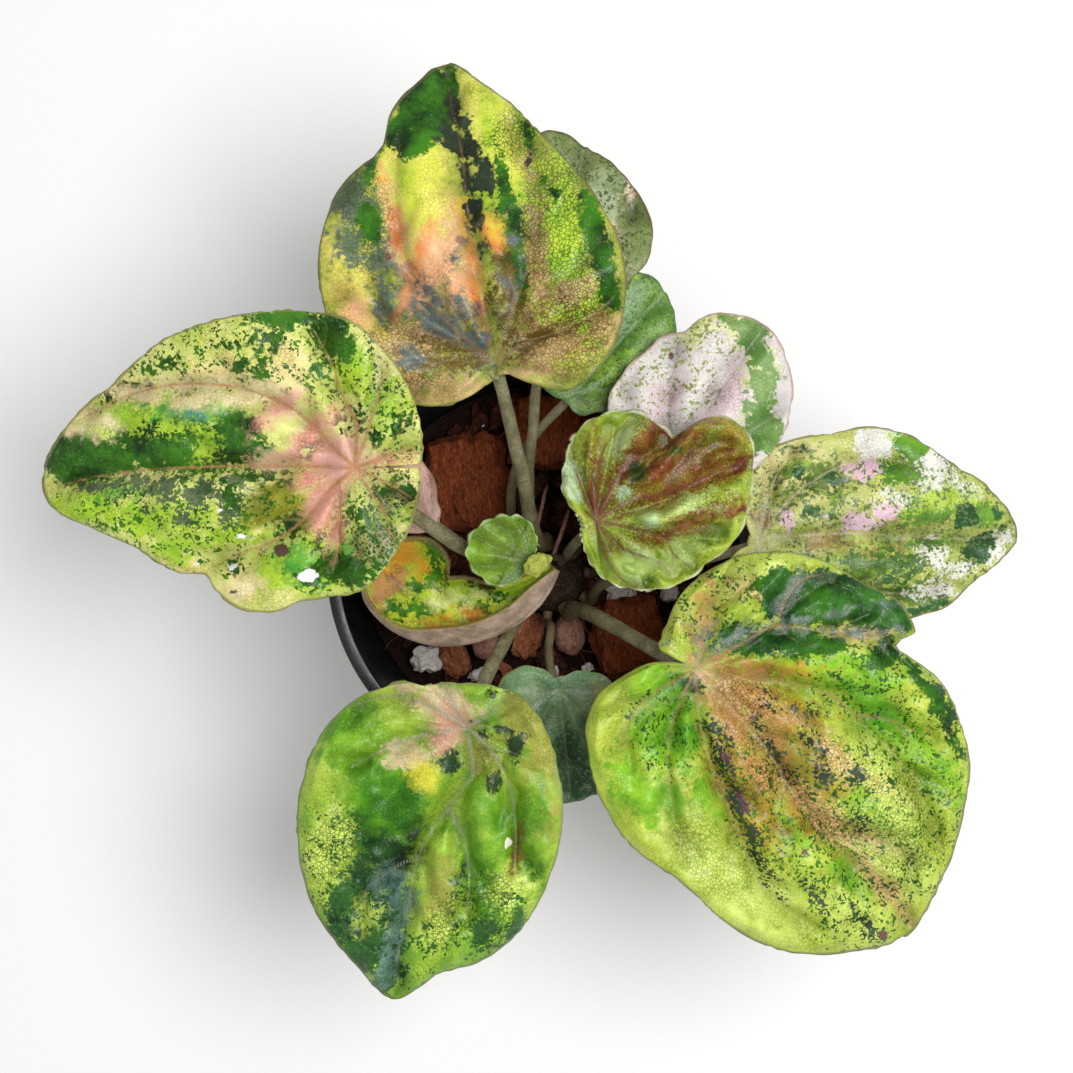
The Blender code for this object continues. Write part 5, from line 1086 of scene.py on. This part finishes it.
def crownPoint(azimuth, offTop, lift):
    turn, lean = math.radians(azimuth), math.radians(offTop)
    out = np.array([math.sin(lean) * math.cos(turn), math.sin(lean) * math.sin(turn), math.cos(lean)])
    radii = np.array([crown["radius"], crown["radius"], crown["domeHeight"]])
    normal = out / radii
    return np.array([*crown["middle"], crown["domeLevel"]]) + out * radii + normal / np.linalg.norm(normal) * lift


def stalkEnd(carried):
    if carried == "leaf_curled":
        return np.array([-17.6, -5.4, 83.3])
    if carried == "leaf_bud":
        return np.array(bud["middle"]) - [0.0, 0.0, bud["halfSizes"][2] + 0.3]
    return np.array(blades[carried]["stalk"]) - [0.0, 0.0, 1.25]


def stalkMaterial():
    # olive khaki skin with long fine streaks, redder low down
    material, tree, shader, place = newMaterial("stalkSkin", 0.42, 0.4)
    streaks = grain(tree, place, 0.5, 3.0, 0.6, (1.6, 1.6, 0.25)).outputs["Fac"]
    blotches = grain(tree, place, 3.0, 3.0).outputs["Fac"]
    colour = mixColours(tree, ramp(tree, blotches, 0.38, 0.62), tone("8f8866"), tone("6e6a4a"))
    colour = mixColours(tree, ramp(tree, streaks, 0.45, 0.7, 0.0, 0.7), colour, tone("4a4530"))
    level = addNode(tree, "ShaderNodeSeparateXYZ", {0: place}).outputs[2]
    colour = mixColours(tree, ramp(tree, level, 66.0, 88.0, 0.85, 0.0), colour, tone("5e4630"))
    colour = mixColours(tree, ramp(tree, cellMap(tree, place, 0.9).outputs["Distance"], 0.06, 0.16, 0.5, 0.0),
                        colour, tone("d8d2b0"))
    tree.links.new(colour, shader.inputs["Base Color"])
    addBump(tree, shader, calc(tree, "MULTIPLY_ADD", blotches, 0.8, streaks), 0.3)
    return material


stalkSkin = stalkMaterial()


def tubeMesh(name, path, radii, sides=16, wobble=0.0, seed=0.0):
    # a closed round tube along a path of points
    path = np.asarray(path)
    ahead = np.gradient(path, axis=0)
    ahead /= np.linalg.norm(ahead, axis=1)[:, None]
    side = np.cross(ahead, [0.31, -0.95, 0.05])
    side /= np.linalg.norm(side, axis=1)[:, None]
    up = np.cross(side, ahead)
    turn = np.linspace(0.0, 2.0 * math.pi, sides, endpoint=False)
    bumpy = 1.0 + wobble * softNoise(np.arange(len(path))[:, None] * 0.45 + turn * 0.0, turn[None, :] * 1.3, 1.0, seed)
    ring = side[:, None, :] * np.cos(turn)[None, :, None] + up[:, None, :] * np.sin(turn)[None, :, None]
    points = path[:, None, :] + ring * (np.asarray(radii)[:, None] * bumpy)[:, :, None]
    points = np.vstack([points.reshape(-1, 3), path[:1], path[-1:]])
    first, last = len(points) - 2, len(points) - 1
    faces = []
    for k in range(len(path) - 1):
        for j in range(sides):
            n = (j + 1) % sides
            faces.append((k * sides + j, k * sides + n, (k + 1) * sides + n, (k + 1) * sides + j))
    for j in range(sides):
        n = (j + 1) % sides
        faces.append((first, n, j))
        faces.append((last, last - 1 - sides + j, last - 1 - sides + n))
    return points, faces


for number, (name, stalk) in enumerate(stalks.items()):
    (azimuth, offTop), passes, carried, (rootRadius, tipRadius) = stalk
    end = stalkEnd(carried)
    points = [crownPoint(azimuth, offTop, 0.3 + 0.3 * rootRadius), crownPoint(azimuth, offTop, 3.0)]
    points += [np.array(point) for point in passes]
    points += [end + 0.12 * (points[-1] - end) - [0.0, 0.0, 0.6], end]
    path = smoothPath(points, 64)
    share = np.linspace(0.0, 1.0, len(path))
    radii = rootRadius + (tipRadius - rootRadius) * np.minimum(1.0, share * 1.4)
    points, faces = tubeMesh(name, path, radii, 16, 0.07, number)
    addPiece(name + "Fine", makeMesh(name, points, faces), [stalkSkin], "stalk", name)
print("stalks", len(stalks))


def turnedPoints(profile, steps, rough=None):
    # a profile turned about the vertical axis; a profile point on the axis becomes one point
    points = []
    rows = []
    for radius, height in profile:
        if radius < 1e-6:
            rows.append([len(points)] * steps)
            points.append((0.0, 0.0, height))
            continue
        rows.append(list(range(len(points), len(points) + steps)))
        for step in range(steps):
            turn = 2.0 * math.pi * step / steps
            spot = (radius * math.cos(turn), radius * math.sin(turn), height)
            points.append(rough(spot) if rough else spot)
    faces = []
    for near, far in zip(rows, rows[1:]):
        for j in range(steps):
            n = (j + 1) % steps
            corners = [near[j], near[n], far[n], far[j]]
            faces.append(tuple(dict.fromkeys(corners)))
    return points, faces


def roughCrown(spot):
    x, y, z = spot
    push = 1.0 + 0.07 * noise.fractal(Vector(spot) * 0.45, 1.0, 2.0, 4)
    return (x * push + crown["middle"][0], y * push + crown["middle"][1], z + 0.6 * noise.noise(Vector(spot) * 0.8))


crownProfile = [(crown["radius"] * math.sin(math.radians(angle)),
                 crown["domeLevel"] + crown["domeHeight"] * math.cos(math.radians(angle)))
                for angle in range(0, 97, 3)] + crown["foot"]
points, faces = turnedPoints(crownProfile, 72, roughCrown)
points[0] = (crown["middle"][0], crown["middle"][1], points[0][2])
faces = [face[::-1] for face in faces]
crownBark = stoneMaterial("crownBark", ("3c3020", "241a10", "5c4c30", "120c06"), 2.0, 0.8, 0.7, (1.0, 1.0, 0.4))
addPiece("crownFine", makeMesh("crown", points, faces), [crownBark], "crown", "crown")


# Bed: the mix itself, then chips, grit and fibres strewn over it
bed = {"rings": 96, "columns": 220, "grit": 0.9, "gritSize": 2.2, "chips": 260, "grains": 26, "fibres": 60, "seed": 5}


def potInnerRadius(height):
    share = (height - 1.8) / 76.2
    return 31.5 + share * 11.9 - 1.3


def buildBed():
    outer = potInnerRadius(58.5) - 0.3
    turns = np.linspace(0.0, 2.0 * math.pi, bed["columns"], endpoint=False)
    rows = []

    def ring(centre, radius, level):
        row = []
        for turn in turns:
            x, y = centre[0] + radius * math.cos(turn), centre[1] + radius * math.sin(turn)
            height = level
            if level is None:
                spot = Vector((x, y, 3.0)) / bed["gritSize"]
                height = groundLevel(x, y) + bed["grit"] * (noise.fractal(spot, 0.8, 2.1, 4) - 0.35)
            row.append((x, y, height))
        rows.append(row)

    ring(crown["middle"], 7.8, 46.2)
    for step in range(bed["rings"] + 1):
        share = step / bed["rings"]
        ring([value * (1.0 - share) for value in crown["middle"]], 7.8 + (outer - 7.8) * share, None)
    ring((0.0, 0.0), outer - 0.6, 54.5)
    ring((0.0, 0.0), potInnerRadius(2.1) - 0.6, 2.1)
    count = bed["columns"]
    points = [point for row in rows for point in row] + [(*crown["middle"], 46.2), (0.0, 0.0, 2.1)]
    faces = []
    for k in range(len(rows) - 1):
        for j in range(count):
            n = (j + 1) % count
            faces.append((k * count + j, (k + 1) * count + j, (k + 1) * count + n, k * count + n))
    last = (len(rows) - 1) * count
    for j in range(count):
        n = (j + 1) % count
        faces.append((len(points) - 2, j, n))
        faces.append((len(points) - 1, last + n, last + j))
    return makeMesh("substrate", points, faces)


bedMix = stoneMaterial("bedMix", ("24120c", "0f0805", "4c2616", "060302"), 1.6, 0.95, 0.8)
addPiece("substrateFine", buildBed(), [bedMix], "bed_mix", "substrate")


def strewn(count, sizes, flatness, seed, keepOut=4.0):
    # chips scattered over the open bed, joined in one mesh
    dice = np.random.default_rng(seed)
    points, faces = [], []
    placed = 0
    while placed < count:
        turn, away = dice.uniform(0.0, 2.0 * math.pi), 37.5 * math.sqrt(dice.uniform(0.0, 1.0))
        x, y = away * math.cos(turn), away * math.sin(turn)
        size = dice.uniform(*sizes)
        blocked = [math.dist((x, y), piece[1]) < max(piece[2][:2]) + 0.4 * size for piece in loosePieces.values()]
        if any(blocked) or math.dist((x, y), crown["middle"]) < crown["radius"] + 0.6:
            continue
        if away + size > 38.0:
            continue
        style = {"blocky": True, "roughness": 0.5, "grit": 0.1, "gritSize": 0.3}
        half = (size, size * dice.uniform(0.45, 0.9), size * flatness * dice.uniform(0.5, 1.0))
        shape = lumpShape(half, style, 50.0 + placed * 1.7, 4)
        spin = Vector((0.0, 0.0, 1.0))
        tilt = Vector((dice.uniform(-0.35, 0.35), dice.uniform(-0.35, 0.35), 1.0)).normalized()
        turned = spin.rotation_difference(tilt).to_matrix()
        heading = dice.uniform(0.0, 2.0 * math.pi)
        base = len(points)
        level = groundLevel(x, y) + half[2] * 0.35
        for vert in shape.verts:
            spot = Vector((vert.co.x * math.cos(heading) - vert.co.y * math.sin(heading),
                           vert.co.x * math.sin(heading) + vert.co.y * math.cos(heading), vert.co.z))
            spot = turned @ spot
            points.append((spot.x + x, spot.y + y, spot.z + level))
        for face in shape.faces:
            faces.append(tuple(base + vert.index for vert in face.verts))
        shape.free()
        placed += 1
    return points, faces


points, faces = strewn(bed["chips"], (1.0, 3.4), 0.5, bed["seed"])
chipBark = stoneMaterial("strewnBark", ("4c2616", "1c0e08", "7c4428", "0c0604"), 3.0, 0.9, 0.5)
addPiece("barkLitter", makeMesh("barkLitter", points, faces), [chipBark], "bark")
points, faces = strewn(bed["grains"], (0.4, 1.0), 0.8, bed["seed"] + 1)
addPiece("whiteGrit", makeMesh("whiteGrit", points, faces), [lumpMaterials["perlite"]], "perlite")


def strewnFibres():
    dice = np.random.default_rng(bed["seed"] + 2)
    allPoints, allFaces = [], []
    homes = [piece for piece in loosePieces.values() if piece[0] == "coir"]
    for index in range(bed["fibres"]):
        heading = dice.uniform(0.0, 2.0 * math.pi)
        if index % 3:
            home = homes[index % len(homes)]
            x, y = np.array(home[1]) + dice.uniform(-0.8, 0.8, 2) * home[2][0]
            level = 57.9 + 2.0 * home[2][2] * math.sqrt(max(0.05, 1.0 - (math.dist((x, y), home[1]) / 10.5) ** 2))
        else:
            away = 34.0 * math.sqrt(dice.uniform(0.1, 1.0))
            x, y = away * math.cos(heading * 3.1), away * math.sin(heading * 3.1)
            level = groundLevel(x, y) + 0.5
        path = []
        bend = dice.uniform(-0.35, 0.35)
        for step in range(12):
            path.append((x, y, level + 0.35 * math.sin(step * 0.7 + index)))
            x += 0.75 * math.cos(heading)
            y += 0.75 * math.sin(heading)
            heading += bend
        points, faces = tubeMesh("fibre", path, np.full(len(path), dice.uniform(0.08, 0.17)), 5)
        base = len(allPoints)
        allPoints += [tuple(point) for point in points]
        allFaces += [tuple(base + corner for corner in face) for face in faces]
    return allPoints, allFaces


points, faces = strewnFibres()
addPiece("coirFibres", makeMesh("coirFibres", points, faces), [lumpMaterials["coir"]], "coir")
print("bed")

# Aerial roots that hang from the crown
roots = [
    [(0.6, -0.4, 72.0), (-0.6, 6.0, 76.0), (-0.4, 9.0, 75.0), (0.4, 12.0, 70.5), (1.0, 15.0, 66.0), (1.6, 17.0, 60.5)],
    [(2.6, 1.0, 71.0), (4.4, 6.0, 70.5), (5.4, 9.0, 66.5), (6.2, 11.4, 60.5)],
    [(6.0, 1.2, 70.0), (8.4, 4.0, 70.0), (10.4, 8.0, 66.0), (11.4, 11.0, 60.5)],
]
rootSkin = stoneMaterial("rootSkin", ("c89a90", "a87468", "e0bcb0", "7c5044"), 1.2, 0.6, 0.1)
allPoints, allFaces = [], []
for index, route in enumerate(roots):
    path = smoothPath(route, 30)
    points, faces = tubeMesh("root", path, np.linspace(0.55, 0.3, len(path)), 10, 0.2, index)
    base = len(allPoints)
    allPoints += [tuple(point) for point in points]
    allFaces += [tuple(base + corner for corner in face) for face in faces]
addPiece("aerialRoots", makeMesh("aerialRoots", allPoints, allFaces), [rootSkin], "stalk")

# Pot: thin moulded plastic with a collar, a lip and six drain holes
pot = {"steps": 192, "edge": 0.45, "holes": 6, "holeRadius": 3.5, "holeRing": 21.0}


def roundedRun(profile, parts):
    # more points along each long straight run
    run = [profile[0]]
    for start, end in zip(profile, profile[1:]):
        steps = parts if math.dist(start, end) > 6.0 else 1
        for step in range(1, steps + 1):
            run.append((start[0] + (end[0] - start[0]) * step / steps, start[1] + (end[1] - start[1]) * step / steps))
    return run


def buildPot():
    edge = pot["edge"]
    mouth = potInnerRadius(78.0)
    belowCollar = potInnerRadius(66.0) + 1.3
    profile = [(0.0, 1.8), (30.2, 1.8), (mouth, 78.0 - edge), (mouth + 0.14, 78.0 - 0.13), (mouth + edge, 78.0),
               (45.0 - edge, 78.0), (45.0 - 0.13, 78.0 - 0.13), (45.0, 78.0 - edge), (45.0, 74.5 + edge),
               (45.0 - 0.13, 74.5 + 0.13), (45.0 - edge, 74.5), (43.4, 74.5 - edge),
               (belowCollar + 0.8, 66.0 + edge), (belowCollar + 0.66, 66.0 + 0.13), (belowCollar, 66.0),
               (31.5, 1.0), (31.5 - 0.3, 0.3), (30.5, 0.0), (0.0, 0.0)]
    points, faces = turnedPoints(roundedRun(profile, 10), pot["steps"])
    faces = [face[::-1] for face in faces]
    shell = bpy.data.objects.new("potShell", makeMesh("potShell", points, faces))
    bpy.context.scene.collection.objects.link(shell)
    cutters = []
    for index in range(pot["holes"]):
        turn = 2.0 * math.pi * index / pot["holes"]
        shape = bmesh.new()
        bmesh.ops.create_cone(shape, cap_ends=True, segments=40, radius1=pot["holeRadius"] * mm,
                              radius2=pot["holeRadius"] * mm, depth=7.2 * mm)
        mesh = bpy.data.meshes.new("drainCutter")
        shape.to_mesh(mesh)
        shape.free()
        cutter = bpy.data.objects.new("drainCutter", mesh)
        cutter.location = (pot["holeRing"] * math.cos(turn) * mm, pot["holeRing"] * math.sin(turn) * mm, 0.0)
        bpy.context.scene.collection.objects.link(cutter)
        cutters.append(cutter)
        hole = shell.modifiers.new("drain", "BOOLEAN")
        hole.operation = "DIFFERENCE"
        hole.solver = "EXACT"
        hole.object = cutter
    bpy.context.view_layer.update()
    finished = bpy.data.meshes.new_from_object(shell.evaluated_get(bpy.context.evaluated_depsgraph_get()))
    for thing in [shell, *cutters]:
        bpy.data.objects.remove(thing, do_unlink=True)
    return finished


def potMaterial():
    material, tree, shader, place = newMaterial("blackPlastic", 0.36, 0.5)
    haze = grain(tree, place, 9.0, 4.0).outputs["Fac"]
    specks = grain(tree, place, 0.7, 3.0, 0.6).outputs["Fac"]
    colour = mixColours(tree, ramp(tree, haze, 0.4, 0.65), tone("101215"), tone("1c1e22"))
    colour = mixColours(tree, ramp(tree, specks, 0.6, 0.75, 0.0, 0.4), colour, tone("4a4640"))
    tree.links.new(colour, shader.inputs["Base Color"])
    tree.links.new(ramp(tree, haze, 0.3, 0.7, 0.28, 0.5), shader.inputs["Roughness"])
    addBump(tree, shader, specks, 0.05)
    return material


addPiece("potFine", buildPot(), [potMaterial()], "pot_plastic", "pot")
print("pot")

# Floor, light and camera
studio = {"floorSize": 1.6, "floorTone": "fdfdfc", "lampSize": 0.36, "lampPower": 3.6, "lampPlace": (0.2, 0.04, 0.72),
          "fill": 0.52}
floorMesh = makeMesh("floor", [(-800, -800, 0), (800, -800, 0), (800, 800, 0), (-800, 800, 0)], [(0, 1, 2, 3)])
floorPiece = bpy.data.objects.new("floor", floorMesh)
bpy.context.scene.collection.objects.link(floorPiece)
floorMaterial, tree, shader, place = newMaterial("paperFloor", 0.8, 0.2)
paper = grain(tree, place, 1.5, 3.0).outputs["Fac"]
tree.links.new(mixColours(tree, paper, tone("fbfbfa"), tone(studio["floorTone"])), shader.inputs["Base Color"])
floorMesh.materials.append(floorMaterial)
floorPiece.location.z = -0.0002

lampData = bpy.data.lights.new("softbox", "AREA")
lampData.shape = "DISK"
lampData.size = studio["lampSize"]
lampData.energy = studio["lampPower"]
lamp = bpy.data.objects.new("softbox", lampData)
lamp.location = studio["lampPlace"]
lamp.rotation_euler = (Vector((0.0, 0.0, 0.1)) - lamp.location).to_track_quat("-Z", "Y").to_euler()
bpy.context.scene.collection.objects.link(lamp)

world = bpy.data.worlds.new("studio")
world.use_nodes = True
world.node_tree.nodes["Background"].inputs["Color"].default_value = (1.0, 1.0, 1.0, 1.0)
world.node_tree.nodes["Background"].inputs["Strength"].default_value = studio["fill"]
bpy.context.scene.world = world
bpy.context.scene.view_settings.view_transform = "Standard"
bpy.context.scene.view_settings.look = "None"

cameraData = bpy.data.cameras.new("camera")
cameraData.lens = 71.8
cameraData.sensor_width = 36.0
camera = bpy.data.objects.new("camera", cameraData)
camera.location = [value * mm for value in viewPoint]
bpy.context.scene.collection.objects.link(camera)
bpy.context.scene.camera = camera

bpy.context.view_layer.update()
